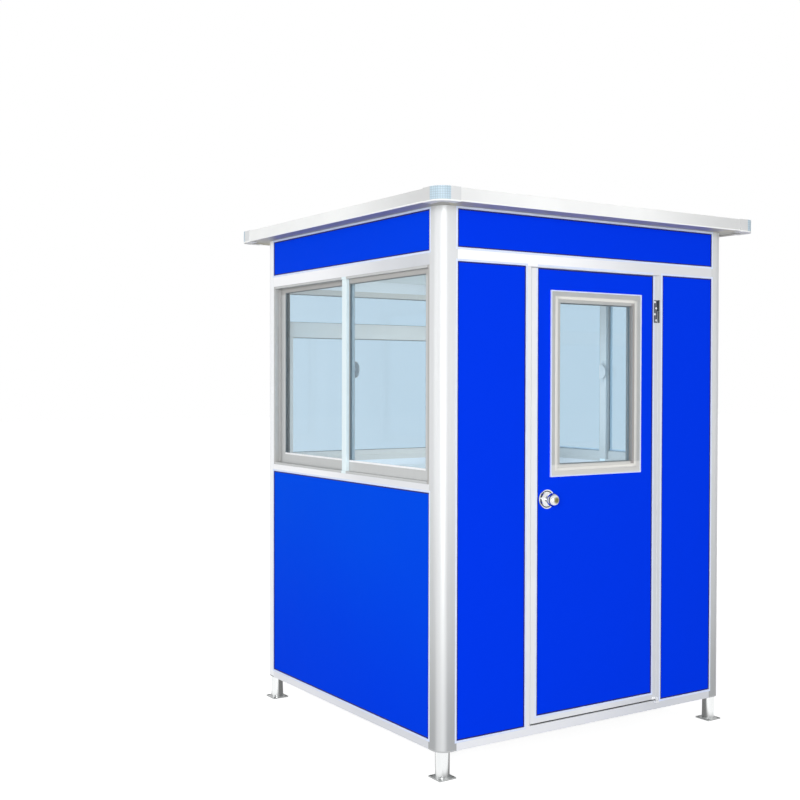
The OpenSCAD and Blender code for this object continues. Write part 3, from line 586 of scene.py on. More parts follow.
def brushed_steel(finishes):
    """Stainless steel sheet brushed one way: fine scratches stretch the shine."""
    material, node, shader, place = start_material("brushed_stainless_upright", Metallic=1.0)
    # The scratches are hundredths of a millimetre wide; they are drawn 0.8 mm wide so that they show.
    tint = mottle(node, place, 0.8, shade(finishes.steel, 0.93), shade(finishes.steel, 1.04), BRUSHED)
    fill(shader.inputs["Base Color"], tint)
    lines = roughen(node, shader, place, 0.8, 0.25, 0.38, BRUSHED)
    fill(shader.inputs["Normal"], node("Bump", Height=lines, Distance=0.02 * MM, Strength=0.4))
    return material


def plated_metal(name, colour, rough):
    """Polished plating on a turned part: a clear mirror with faint smudges from hands."""
    material, node, shader, place = start_material(name, Metallic=1.0)
    tint = mottle(node, place, 12, shade(colour, 0.96), shade(colour, 1.02))
    fill(shader.inputs["Base Color"], tint)
    roughen(node, shader, place, 9, rough, rough + 0.08)
    return material


def chromed_lock(finishes):
    """Chrome on the turned lock parts: a mirror, with painted dark reflections round the rose and the knob
    and painted shadow on the neck. The lacquer round the key cylinder has tarnished."""
    material, node, shader, place = start_material("polished_chrome_plate", Metallic=1.0)
    low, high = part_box("door_knobs")
    rose_low, rose_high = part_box("door_lock_roses")
    reach = (high.y - low.y) / 2
    rose_out = (rose_high.y - rose_low.y) / 2
    rim = (rose_high.x - rose_low.x) / 2
    middle = ((low.x + high.x) / 2, (rose_low.y + rose_high.y) / 2, (low.z + high.z) / 2)
    across, out, height = spot_of(node, place, middle)
    radius = node("VectorMath", node("CombineXYZ", X=across, Z=height), operation="LENGTH")
    # The rose's painted dark reflection is a ring 5 mm wide, inside a rim of 6 mm; the neck has painted
    # shadow for 6 mm above the rose.
    on_rose = node("Math", out, rose_out + 0.5 * MM, operation="LESS_THAN")
    past_ring = node("Math", radius, rim - 9 * MM, operation="SUBTRACT")
    from_ring = node("Math", past_ring, operation="ABSOLUTE")
    ring = node("MapRange", from_ring, 3.5 * MM, 2.0 * MM, 0.0, 0.85, **SOFT)
    painted_dark_band = node("Math", on_rose, ring, operation="MULTIPLY")
    off_rose = node("Math", 1.0, on_rose, operation="SUBTRACT")
    near_rose = node("MapRange", out, rose_out + 8 * MM, rose_out + 5 * MM, 0.0, 0.9, **SOFT)
    neck = node("Math", off_rose, near_rose, operation="MULTIPLY")
    # A painted dark reflection runs round the knob, 17 mm from its end.
    past_line = node("Math", out, reach - 17 * MM, operation="SUBTRACT")
    from_line = node("Math", past_line, operation="ABSOLUTE")
    line = node("MapRange", from_line, 3.0 * MM, 1.5 * MM, 0.0, 0.85, **SOFT)
    dark = node("Math", painted_dark_band, node("Math", neck, line, operation="MAXIMUM"), operation="MAXIMUM")
    round_key = node("MapRange", radius, 17 * MM, 12 * MM, 0.0, 0.7, **SOFT)
    at_end = node("Math", out, reach - 12 * MM, operation="GREATER_THAN")
    tarnish = node("Math", round_key, at_end, operation="MULTIPLY")
    tint = mottle(node, place, 12, shade(finishes.chrome, 0.94), shade(finishes.chrome, 1.02))
    tint = add_coats(node, tint, [(tarnish, rgba(finishes.lacquer)), (dark, rgba(finishes.painted_dark_band))])
    fill(shader.inputs["Base Color"], tint)
    roughen(node, shader, place, 9, 0.07, 0.15)
    return material


def hinge_steel(finishes):
    """Cold-rolled hinge: a plated plate and a darker knuckle in painted shade, with a painted highlight on
    the knuckle's outer side. The bottom pivot is coated white.
    """
    material, node, shader, place = start_material("plated_steel_hinge")
    low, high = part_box("door_hinge_leaf")
    knuckle_x = high.x - 10 * MM
    spot = node("SeparateXYZ", place).outputs
    grey = finishes.hinge_grey
    # Rolling marks are tenths of a millimetre wide; they are drawn 1 mm wide so that they show.
    plate = mottle(node, place, 1, shade(grey, 0.85), shade(grey, 1.1), (1.0, 1.0, 0.05))
    knuckle = node("MapRange", spot["X"], knuckle_x - 2 * MM, knuckle_x)
    # Painted highlight on the outer side of the knuckle.
    extra_coat = node("MapRange", spot["X"], knuckle_x + 4.5 * MM, knuckle_x + 6.5 * MM, **SOFT)
    metal = add_coats(node, plate, [(knuckle, rgba(finishes.knuckle_shade)), (extra_coat, rgba(finishes.chrome))])
    upper = node("Math", spot["Z"], (low.z + high.z) / 2, operation="GREATER_THAN")
    tint = node("Mix", upper, rgba(finishes.rail_white), metal, **COLOUR)
    fill(shader.inputs["Base Color"], tint)
    fill(shader.inputs["Metallic"], node("Math", upper, 0.45, operation="MULTIPLY"))
    roughen(node, shader, place, 6, 0.3, 0.42)
    return material


def float_glass(finishes):
    """Float glass with a faint blue tint. Lamps and bounced light pass it with the same tint."""
    material, node, shader, place = start_material("tinted_float_glass", Transmission_Weight=1.0, IOR=1.45)
    tint = finishes.glass_tint
    fill(shader.inputs["Base Color"], mottle(node, place, 900, shade(tint, 0.985), shade(tint, 1.0)))
    roughen(node, shader, place, 120, 0.0, 0.012)
    rays = node("LightPath").outputs
    passing = node("Math", rays["Is Shadow Ray"], rays["Is Diffuse Ray"], operation="MAXIMUM")
    clear = node("BsdfTransparent", Color=rgba(tint))
    pane = node("MixShader", passing, shader, clear)
    fill(material.node_tree.nodes["Material Output"].inputs["Surface"], pane)
    return material


def moulded_plastic(name, colour, rough):
    """Injection-moulded or extruded plastic: even colour and a soft, slightly uneven shine."""
    material, node, shader, place = start_material(name, Specular_IOR_Level=0.4)
    tint = mottle(node, place, 40, shade(colour, 0.96), shade(colour, 1.02))
    fill(shader.inputs["Base Color"], tint)
    uneven = roughen(node, shader, place, 6, rough - 0.05, rough + 0.07)
    fill(shader.inputs["Normal"], node("Bump", Height=uneven, Distance=0.03 * MM, Strength=0.3))
    return material


def gridded_cap_plastic(finishes):
    """Moulded ABS of the roof's corner caps: a fine square grid runs round the corner."""
    material, node, shader, place = start_material("moulded_abs_grid", Specular_IOR_Level=0.4)
    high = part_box("roof_edge_trims")[1]
    radius = roof_corner_radius()
    centre = (high.x - radius, high.y - radius, 0.0)
    size = node("VectorMath", place, operation="ABSOLUTE")
    past = node("SeparateXYZ", node("VectorMath", size, centre, operation="SUBTRACT")).outputs
    # Length round the cap: along one leg, round the corner, and along the other leg.
    round_x = node("Math", past["X"], 0.0, operation="MAXIMUM")
    round_y = node("Math", past["Y"], 0.0, operation="MAXIMUM")
    leg_x = node("Math", past["X"], 0.0, operation="MINIMUM")
    leg_y = node("Math", past["Y"], 0.0, operation="MINIMUM")
    turn = node("Math", round_y, round_x, operation="ARCTAN2")
    legs = node("Math", leg_y, leg_x, operation="SUBTRACT")
    length = node("Math", turn, radius, legs, operation="MULTIPLY_ADD")
    # The grid's lines are 9.2 mm apart.
    ribs = []
    for distance in (length, past["Z"]):
        counted = node("Math", distance, per_mm(9.2), operation="MULTIPLY")
        cell = node("Math", counted, 0.5, operation="PINGPONG")
        ribs.append(node("MapRange", cell, 0.02, 0.16, **SOFT))
    pad = node("Math", *ribs, operation="MINIMUM")
    ribbed = node("Mix", pad, shade(finishes.roof_cap, 0.74), rgba(finishes.roof_cap), **COLOUR)
    past_x = node("Math", past["X"], 0.0, operation="GREATER_THAN")
    past_y = node("Math", past["Y"], 0.0, operation="GREATER_THAN")
    rounded = node("Math", past_x, past_y, operation="MULTIPLY")
    height = node("SeparateXYZ", place).outputs["Z"]
    # Painted highlight: the lower fold of the cap stays white.
    highlight_fold = node("Math", height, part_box("roof_corner_caps")[0].z + 6 * MM, operation="LESS_THAN")
    darker_edge_share = roof_darker_edges(node, place)
    leg = node("Mix", darker_edge_share, rgba(finishes.roof_cap_leg), rgba(finishes.roof_darker_edges), **COLOUR)
    tint = add_coats(node, leg, [(rounded, ribbed), (highlight_fold, rgba(finishes.roof_trim))])
    fill(shader.inputs["Base Color"], tint)
    roughen(node, shader, place, 8, 0.36, 0.46)
    raised = node("Math", pad, rounded, operation="MULTIPLY")
    fill(shader.inputs["Normal"], node("Bump", Height=raised, Distance=0.5 * MM, Strength=0.5))
    return material


def vinyl_flooring(finishes):
    """Sheet vinyl on the floor deck: grey with fine darker and lighter chips, dull."""
    material, node, shader, place = start_material("speckled_vinyl_sheet", Specular_IOR_Level=0.35)
    chips = node("TexVoronoi", Vector=place, Scale=per_mm(7))
    grey = node("RGBToBW", chips.outputs["Color"])
    tint = node("Mix", grey, shade(finishes.deck_grey, 0.8), shade(finishes.deck_grey, 1.15), **COLOUR)
    fill(shader.inputs["Base Color"], tint)
    spread = roughen(node, shader, place, 90, 0.45, 0.65)
    fill(shader.inputs["Normal"], node("Bump", Height=spread, Distance=0.1 * MM, Strength=0.2))
    return material


# Shapes and dressing


def panel_middle(node, axis):
    """Distance from the booth's middle to the middle of a wall panel, along an axis."""
    low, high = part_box(node)
    return abs(low[axis] + high[axis]) / 2


def roof_corner_radius():
    """Radius of the roof's rounded corners: the length that the side trims leave free at their ends."""
    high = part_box("roof_edge_trims")[1]
    points = [v.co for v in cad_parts["roof_edge_trims"].data.vertices]
    return high.y - max(p.y for p in points if p.x > high.x - 0.1 * MM)


def thin_axis(low, high):
    """Axis across an upright sheet: 0 for X or 1 for Y."""
    return 0 if high.x - low.x < high.y - low.y else 1


def face_of(low, high, axis, side):
    """Middle of one face of a box, and the way that the face looks."""
    normal = Vector((0, 0, 0))
    normal[axis] = side
    point = (low + high) / 2
    point[axis] = high[axis] if side > 0 else low[axis]
    return point, normal


def pane_boxes(node):
    """Boxes of the separate panes in a glass node, from their joined corners."""
    work = bmesh.new()
    work.from_mesh(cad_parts[node].data)
    bmesh.ops.remove_doubles(work, verts=work.verts, dist=0.01 * MM)
    left = set(work.verts)
    boxes = []
    while left:
        pane = joined_to(left.pop())
        left -= set(pane)
        corners = [v.co.copy() for v in pane]
        low = Vector([min(c[i] for c in corners) for i in range(3)])
        high = Vector([max(c[i] for c in corners) for i in range(3)])
        boxes.append((low, high))
    work.free()
    return sorted(boxes, key=lambda pair: tuple(pair[0]))


def dress(names, material, edge=0.0):
    """Gives CAD nodes a finish and, where asked, a small rounding on their edges."""
    for name in names:
        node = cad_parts[name]
        node.data.materials.clear()
        node.data.materials.append(material)
        if edge > 0:
            weld = node.modifiers.new("Joined corners", "WELD")
            weld.merge_threshold = 0.01 * MM
            rounding = node.modifiers.new("Rounded edges", "BEVEL")
            rounding.width = edge
            rounding.segments = 2
            rounding.limit_method = "ANGLE"
            rounding.angle_limit = math.radians(50)
            rounding.use_clamp_overlap = True
            rounding.miter_outer = "MITER_ARC"


def finish_piece(name, work, materials, body):
    """Makes an object from a bmesh, gives it its materials, and lets it ride on a body."""
    mesh = bpy.data.meshes.new(name)
    work.to_mesh(mesh)
    work.free()
    piece = bpy.data.objects.new(name, mesh)
    bpy.context.scene.collection.objects.link(piece)
    for material in materials:
        mesh.materials.append(material)
    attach(piece, body)


def facing(point, normal, upward=(0.0, 0.0, 1.0)):
    """Matrix that lays a shape drawn on XY, standing up along Z, on a surface."""
    out = Vector(normal).normalized()
    across = Vector(upward).cross(out).normalized()
    turn = Matrix((across, out.cross(across), out)).transposed()
    return Matrix.Translation(Vector(point)) @ turn.to_4x4()


def joined_to(vert):
    """All the vertices that edges join to a vertex."""
    found = {vert}
    fresh = [vert]
    while fresh:
        for edge in fresh.pop().link_edges:
            for other in edge.verts:
                if other not in found:
                    found.add(other)
                    fresh.append(other)
    return list(found)


def raise_faces(work, faces, height):
    """Extrudes faces upwards; gives the new vertices and the raised faces."""
    made = bmesh.ops.extrude_face_region(work, geom=faces)["geom"]
    top = [v for v in made if isinstance(v, bmesh.types.BMVert)]
    bmesh.ops.translate(work, verts=top, vec=(0, 0, height))
    return top, [f for f in made if isinstance(f, bmesh.types.BMFace)]


def round_edges(work, edges, radius, segments):
    """Bevels edges to a round; gives the new vertices."""
    return bmesh.ops.bevel(work, geom=list(edges), offset=radius, offset_type="OFFSET", affect="EDGES",
                           segments=segments, profile=0.5, material=-1)["verts"]


def edges_of(verts):
    """Edges that meet any of the vertices."""
    return {e for v in verts for e in v.link_edges}


def add_screw(work, place, radius, height, turn=0.3):
    """Low domed screw head: a raised and inset disc, with a cross sunk in it whose dark finish is painted
    shade.
    """
    disc = bmesh.ops.create_circle(work, cap_ends=True, segments=20, radius=radius)["verts"]
    top, cap = raise_faces(work, [disc[0].link_faces[0]], height * 0.45)
    dome = bmesh.ops.inset_region(work, faces=cap, thickness=radius * 0.35, depth=height * 0.35)["faces"]
    bmesh.ops.inset_region(work, faces=cap, thickness=radius * 0.3, depth=height * 0.2)
    verts = set(disc) | set(top) | {v for f in dome + cap for v in f.verts}
    for angle in (turn, turn + math.pi / 2):
        bar = bmesh.ops.create_cube(work, size=1.0)["verts"]
        bmesh.ops.scale(work, verts=bar, vec=(radius * 0.9, radius * 0.18, height * 0.2))
        bmesh.ops.rotate(work, verts=bar, cent=(0, 0, 0), matrix=Matrix.Rotation(angle, 3, "Z"))
        bmesh.ops.translate(work, verts=bar, vec=(0, 0, height * 0.93))
        for face in {f for v in bar for f in v.link_faces}:
            face.material_index = 1
        verts |= set(bar)
    bmesh.ops.transform(work, matrix=place, verts=list(verts))


def add_frame_ring(work, width, height, band, thick, place, edge):
    """Rectangular ring with mitred corners and rounded edges, laid by a matrix."""
    sheet = bmesh.ops.create_grid(work, x_segments=1, y_segments=1, size=0.5)["verts"]
    bmesh.ops.scale(work, verts=sheet, vec=(width, height, 1.0))
    face = sheet[0].link_faces[0]
    ring = bmesh.ops.inset_region(work, faces=[face], thickness=band, depth=0.0,
                                  use_boundary=True, use_even_offset=True)["faces"]
    bmesh.ops.delete(work, geom=[face], context="FACES")
    faces = raise_faces(work, ring, thick)[1]
    rims = {e for f in faces for e in f.edges if sum(g in faces for g in e.link_faces) == 1}
    rounded = round_edges(work, rims, edge, 3)
    bmesh.ops.transform(work, matrix=place, verts=joined_to(rounded[0]))


def add_bar(work, corner, opposite, edge):
    """Straight bar between two opposite corners, with rounded edges."""
    block = bmesh.ops.create_cube(work, size=1.0)["verts"]
    bmesh.ops.scale(work, verts=block, vec=[abs(a - b) for a, b in zip(corner, opposite)])
    bmesh.ops.translate(work, verts=block, vec=[(a + b) / 2 for a, b in zip(corner, opposite)])
    round_edges(work, edges_of(block), edge, 2)


def add_rounded_plate(work, width, height, thick, corner, place):
    """Flat plate with round corners and a softened front edge, laid by a matrix."""
    block = bmesh.ops.create_cube(work, size=1.0)["verts"]
    bmesh.ops.scale(work, verts=block, vec=(width, height, thick))
    bmesh.ops.translate(work, verts=block, vec=(0, 0, thick / 2))
    upright = [e for e in edges_of(block) if abs(e.verts[0].co.z - e.verts[1].co.z) > thick / 2]
    made = round_edges(work, upright, corner, 5)
    verts = {v for v in block if v.is_valid} | set(made)
    front = {e for e in edges_of(verts) if all(v.co.z > thick * 0.9 for v in e.verts)}
    soft = round_edges(work, front, thick * 0.3, 2)
    verts = {v for v in verts if v.is_valid} | set(soft)
    linked = verts | {v for e in edges_of(verts) for v in e.verts}
    bmesh.ops.transform(work, matrix=place, verts=list(linked))


def add_turned(work, profile, place, segments=40):
    """Turned part: a profile of radius and height pairs, spun round Z and laid by a matrix."""
    points = [work.verts.new((r, 0.0, z)) for r, z in profile]
    edges = [work.edges.new(pair) for pair in zip(points, points[1:])]
    bmesh.ops.spin(work, geom=points + edges, cent=(0, 0, 0), axis=(0, 0, 1), dvec=(0, 0, 0),
                   angle=math.tau, steps=segments, use_merge=True, use_duplicate=False)
    verts = joined_to(points[0])
    bmesh.ops.remove_doubles(work, verts=verts, dist=0.001 * MM)
    verts = [v for v in verts if v.is_valid]
    faces = list({f for v in verts for f in v.link_faces})
    bmesh.ops.recalc_face_normals(work, faces=faces)
    for face in faces:
        face.smooth = True
    bmesh.ops.transform(work, matrix=place, verts=verts)


# Operators


class BOOTH_OT_panels(bpy.types.Operator):
    """Paint the wall panels and the door leaf: blue outside, off-white inside"""

    bl_idname = "booth.panels"
    bl_label = "Wall panels"

    def execute(self, context):
        dress(WALL_PANELS + ("door_leaf",), coil_coated_steel(context.scene.booth_finishes))
        return {"FINISHED"}


class BOOTH_OT_profiles(bpy.types.Operator):
    """Coat the rails, jambs and door trim, and anodise the corner posts"""

    bl_idname = "booth.profiles"
    bl_label = "Rails and posts"

    def execute(self, context):
        finishes = context.scene.booth_finishes
        edge = context.scene.booth_fittings.edge_r
        # Painted shade on the jambs and door trim, towards the hinge.
        white = powder_coated_aluminium("powder_coated_aluminium_white", finishes.rail_white,
                                        hinge_side_shade, finishes.rail_shaded_grey)
        dress(["door_jambs", "door_edge_trim"], white, edge)
        # Painted light and shade on the rails: a lit white over a shaded grey.
        rails = powder_coated_aluminium("powder_coated_aluminium_rail", finishes.rail_shaded_grey,
                                        lit_rails, finishes.rail_lit_white)
        dress(["bottom_rail_front", "bottom_rail_back", "bottom_rail_left", "bottom_rail_right",
               "sill_rails", "head_rail_front", "head_rails"], rails, edge)
        # Corner posts: darker at their feet, a painted highlight on the round, and painted light on the back
        # left post and upper half.
        silver = anodised_aluminium("anodised_aluminium_satin", finishes.post_silver, 0.2, 0.46,
                                    [(darker_post_feet, finishes.post_foot_grey),
                                     (post_round_highlight, finishes.post_highlight),
                                     (lit_posts, finishes.post_lit)])
        dress(["corner_post_front_left", "corner_post_front_right",
               "corner_post_back_left", "corner_post_back_right"], silver)
        return {"FINISHED"}


class BOOTH_OT_base(bpy.types.Operator):
    """Polish the feet, galvanise the joists, lay vinyl on the deck and cap the anchor holes"""

    bl_idname = "booth.base"
    bl_label = "Feet and floor"

    def execute(self, context):
        finishes = context.scene.booth_finishes
        dress(["base_feet"], drawn_steel_tube(finishes))
        dress(["floor_joists"], galvanised_steel(finishes))
        dress(["floor_deck"], vinyl_flooring(finishes))
        self.cap_holes(finishes, context.scene.booth_fittings)
        return {"FINISHED"}

    def cap_holes(self, finishes, fittings):
        """Low plastic caps on the four anchor holes of each base plate."""
        plastic = moulded_plastic("moulded_pe_grey", finishes.cap_grey, 0.55)
        low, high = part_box("base_feet")
        foot_x = high.x - fittings.plate_w / 2
        foot_y = high.y - fittings.plate_w / 2
        step = fittings.anchor_spacing / 2
        r = fittings.cap_r
        profile = [(0.0, 0.0), (r, 0.0), (r, r * 0.1), (r * 0.8, r * 0.2), (0.0, r * 0.24)]
        work = bmesh.new()
        for side_x, side_y, step_x, step_y in product((-1, 1), repeat=4):
            hole = (side_x * foot_x + step_x * step, side_y * foot_y + step_y * step,
                    low.z + fittings.plate_t)
            add_turned(work, profile, Matrix.Translation(hole), 16)
        finish_piece("anchor_caps", work, [plastic], "booth")


class BOOTH_OT_roof(bpy.types.Operator):
    """Paint the roof panel and finish its trims and corner caps"""

    bl_idname = "booth.roof"
    bl_label = "Roof"

    def execute(self, context):
        finishes = context.scene.booth_finishes
        edge = context.scene.booth_fittings.edge_r
        dress(["roof_panel"], roof_coat("coil_coated_steel_white", finishes))
        dress(["roof_edge_trims"], roof_coat("coil_coated_folded_trim", finishes), edge * 0.5)
        dress(["roof_corner_caps"], gridded_cap_plastic(finishes))
        return {"FINISHED"}


class BOOTH_OT_windows(bpy.types.Operator):
    """Anodise the window frames and sashes, glaze them, line them and finish their locks"""

    bl_idname = "booth.windows"
    bl_label = "Windows"

    def execute(self, context):
        finishes = context.scene.booth_finishes
        edge = context.scene.booth_fittings.edge_r
        # Painted shade on the sashes' top rails.
        sash = anodised_aluminium("anodised_aluminium_sash", finishes.sash_silver, 0.1, 0.5,
                                  [(shaded_sash_heads, finishes.sash_shade)])
        dress(["window_sashes_left", "window_sashes_right"], sash, edge)
        plain = anodised_aluminium("anodised_aluminium_plain", finishes.back_silver, 0.1, 0.5)
        dress(["window_frame_back"], plain, edge)
        # Painted shade on the frames' upright ends.
        outer = anodised_aluminium("anodised_aluminium_frame", finishes.sash_silver, 0.1, 0.5,
                                   [(shaded_frame_ends, finishes.sash_shade),
                                    (mullion_share, finishes.mullion_pale)])
        dress(["window_frame_left", "window_frame_right"], outer, edge)
        dress(["window_glass_left", "window_glass_right", "window_glass_back", "door_glass"],
              float_glass(finishes))
        zinc = anodised_aluminium("die_cast_zinc_satin", finishes.steel, 0.3, 0.35)
        dress(["window_locks"], zinc, edge * 0.5)
        self.line_windows(finishes, context.scene.booth_fittings)
        return {"FINISHED"}

    def line_windows(self, finishes, fittings):
        """Upright dark plastic liners inside the ends of the sliding windows, which stand in for the shade
        in the sashes' reveals: painted shade.
        """
        plastic = moulded_plastic("extruded_pvc_liner", finishes.liner_shade, 0.55)
        for name in SLIDING_PANES:
            work = bmesh.new()
            low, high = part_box(name)
            inside = -1 if low.x > 0 else 1
            face = high.x if inside > 0 else low.x
            for end in (-1, 1):
                edge_y = (high.y if end > 0 else low.y) - end * GLASS_BITE
                near = (face, edge_y, low.z + GLASS_BITE)
                far = (face + inside * fittings.liner_depth, edge_y - end * fittings.liner_w,
                       high.z - GLASS_BITE)
                add_bar(work, near, far, 1.0 * MM)
            finish_piece(name.replace("glass", "liners"), work, [plastic], "booth")


class BOOTH_OT_beads(bpy.types.Operator):
    """Press gaskets round the panes of the windows and the door, and beads under the sliding panes"""

    bl_idname = "booth.beads"
    bl_label = "Glazing gaskets"

    def execute(self, context):
        finishes = context.scene.booth_finishes
        fittings = context.scene.booth_fittings
        rubber = moulded_plastic("extruded_epdm_grey", finishes.glazing, 0.6)
        for name, bite, body in (("window_glass_left", GLASS_BITE, "booth"),
                                 ("window_glass_right", GLASS_BITE, "booth"),
                                 ("window_glass_back", GLASS_BITE, "booth"),
                                 ("door_glass", DOOR_GLASS_BITE, "door")):
            work = bmesh.new()
            for low, high in pane_boxes(name):
                axis = thin_axis(low, high)
                span = high[1 - axis] - low[1 - axis]
                for side in (-1, 1):
                    add_frame_ring(work, span - 2 * bite, high.z - low.z - 2 * bite,
                                   fittings.bead_w, fittings.bead_h,
                                   facing(*face_of(low, high, axis, side)), fittings.bead_h * 0.45)
            finish_piece(name.replace("glass", "gaskets"), work, [rubber], body)
        # Painted highlight: the white beads under the sliding panes stand in for a bright line along the
        # panes' bottoms.
        white = moulded_plastic("extruded_pvc_white", finishes.rail_lit_white, 0.45)
        for name in SLIDING_PANES:
            work = bmesh.new()
            for low, high in pane_boxes(name):
                outward = 1 if low.x > 0 else -1
                face = high.x if outward > 0 else low.x
                bottom = low.z + GLASS_BITE
                add_bar(work, (face, low.y + GLASS_BITE, bottom),
                        (face + outward * fittings.bottom_bead_t, high.y - GLASS_BITE,
                         bottom + fittings.bottom_bead_h), 1.0 * MM)
            finish_piece(name.replace("glass", "bottom_beads"), work, [white], "booth")
        return {"FINISHED"}


class BOOTH_OT_door(bpy.types.Operator):
    """Finish the moulding round the door window, and put seals round the leaf and a sweep under it"""

    bl_idname = "booth.door"
    bl_label = "Door"

    def execute(self, context):
        finishes = context.scene.booth_finishes
        fittings = context.scene.booth_fittings
        dress(["door_window_frame"], moulded_frame(finishes), fittings.edge_r)
        rubber = moulded_plastic("extruded_epdm_pale", finishes.rubber, 0.6)
        leaf_low, leaf_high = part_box("door_edge_trim")
        jamb_low, jamb_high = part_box("door_jambs")
        face = jamb_low.y + fittings.seal_inset
        latch = leaf_low.x - DOOR_GAP
        hinge = leaf_high.x + DOOR_GAP
        width = fittings.seal_w
        work = bmesh.new()
        for left, right, bottom, top in ((latch, latch + width, jamb_low.z, jamb_high.z),
                                         (hinge - width, hinge, jamb_low.z, jamb_high.z),
                                         (latch, hinge, jamb_high.z - width, jamb_high.z)):
            add_bar(work, (left, face, bottom), (right, face + fittings.seal_depth, top), width * 0.3)
        finish_piece("door_seal", work, [rubber], "booth")
        # The sweep's black also stands in for the shade in the gap under the leaf: partly painted shade.
        black = moulded_plastic("extruded_epdm_black", finishes.sweep, 0.65)
        middle = (leaf_low + leaf_high) / 2
        under = facing((middle.x, middle.y, leaf_low.z), (0, 0, -1), (0, 1, 0))
        work = bmesh.new()
        add_rounded_plate(work, leaf_high.x - leaf_low.x - 6 * MM, leaf_high.y - leaf_low.y - 1 * MM,
                          fittings.sweep_h, 1.0 * MM, under)
        finish_piece("door_sweep", work, [black], "door")
        return {"FINISHED"}


class BOOTH_OT_gaskets(bpy.types.Operator):
    """Press a dark rubber lip round each panel, at its channels, which also stands in for the shade in the
    recess, and a pale strip beside it as a painted highlight along the profile's edge
    """

    bl_idname = "booth.gaskets"
    bl_label = "Panel gaskets"

    def execute(self, context):
        finishes = context.scene.booth_finishes
        fittings = context.scene.booth_fittings
        rubber = moulded_plastic("extruded_epdm_navy", finishes.gasket, 0.7)
        plastic = moulded_plastic("extruded_pvc_strip", finishes.edge_highlight, 0.45)
        bite = fittings.panel_bite
        width = fittings.strip_w
        lips = bmesh.new()
        strips = bmesh.new()
        for name in WALL_PANELS:
            low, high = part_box(name)
            under_roof = width if name.startswith("fascia") else bite
            shown = (bite, bite, low.z + bite, high.z - under_roof)
            self.lay_lip(lips, low, high, shown, fittings.gasket_w, fittings.gasket_h)
            around = tuple(inset + way * width for inset, way in zip(shown, (-1, -1, -1, 1)))
            self.lay_lip(strips, low, high, around, width, PANEL_RECESS + fittings.strip_h)
        low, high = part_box("door_leaf")
        left = low.x + LATCH_TRIM_W
        right = high.x - HINGE_TRIM_W
        bottom = low.z + BOTTOM_TRIM_H
        rail_edge = high.z + DOOR_GAP
        self.lay_strip(strips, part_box("head_rail_front")[0].y, left, right, rail_edge, rail_edge + width)
        finish_piece("panel_gaskets", lips, [rubber], "booth")
        finish_piece("panel_strips", strips, [plastic], "booth")
        lips = bmesh.new()
        self.lay_lip(lips, low, high, (LATCH_TRIM_W, HINGE_TRIM_W, bottom, high.z),
                     fittings.gasket_w, fittings.gasket_h)
        finish_piece("door_panel_gasket", lips, [rubber], "door")
        strips = bmesh.new()
        trim_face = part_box("door_edge_trim")[0].y
        self.lay_strip(strips, trim_face, left - width, left, bottom - width, high.z)
        self.lay_strip(strips, trim_face, right, right + width, bottom - width, high.z)
        self.lay_strip(strips, trim_face, left, right, bottom - width, bottom)
        finish_piece("door_panel_strips", strips, [plastic], "door")
        return {"FINISHED"}

    def lay_lip(self, work, low, high, inset, width, height):
        """Ring on the outer face of a panel: insets at its ends, then its bottom and top."""
        axis = thin_axis(low, high)
        along = 1 - axis
        point, normal = face_of(low, high, axis, 1 if low[axis] + high[axis] > 0 else -1)
        start = low[along] + inset[0]
        end = high[along] - inset[1]
        point[along] = (start + end) / 2
        point.z = (inset[2] + inset[3]) / 2
        place = facing(point, normal)
        add_frame_ring(work, end - start, inset[3] - inset[2], width, height, place, 0.4 * MM)

    def lay_strip(self, work, face, left, right, bottom, top):
        """Straight pale cover strip on the front of a profile, sunk 1 mm into it: a painted highlight along
        the profile's edge.
        """
        front = face - bpy.context.scene.booth_fittings.strip_h
        add_bar(work, (left, front, bottom), (right, face + 1 * MM, top), 0.2 * MM)


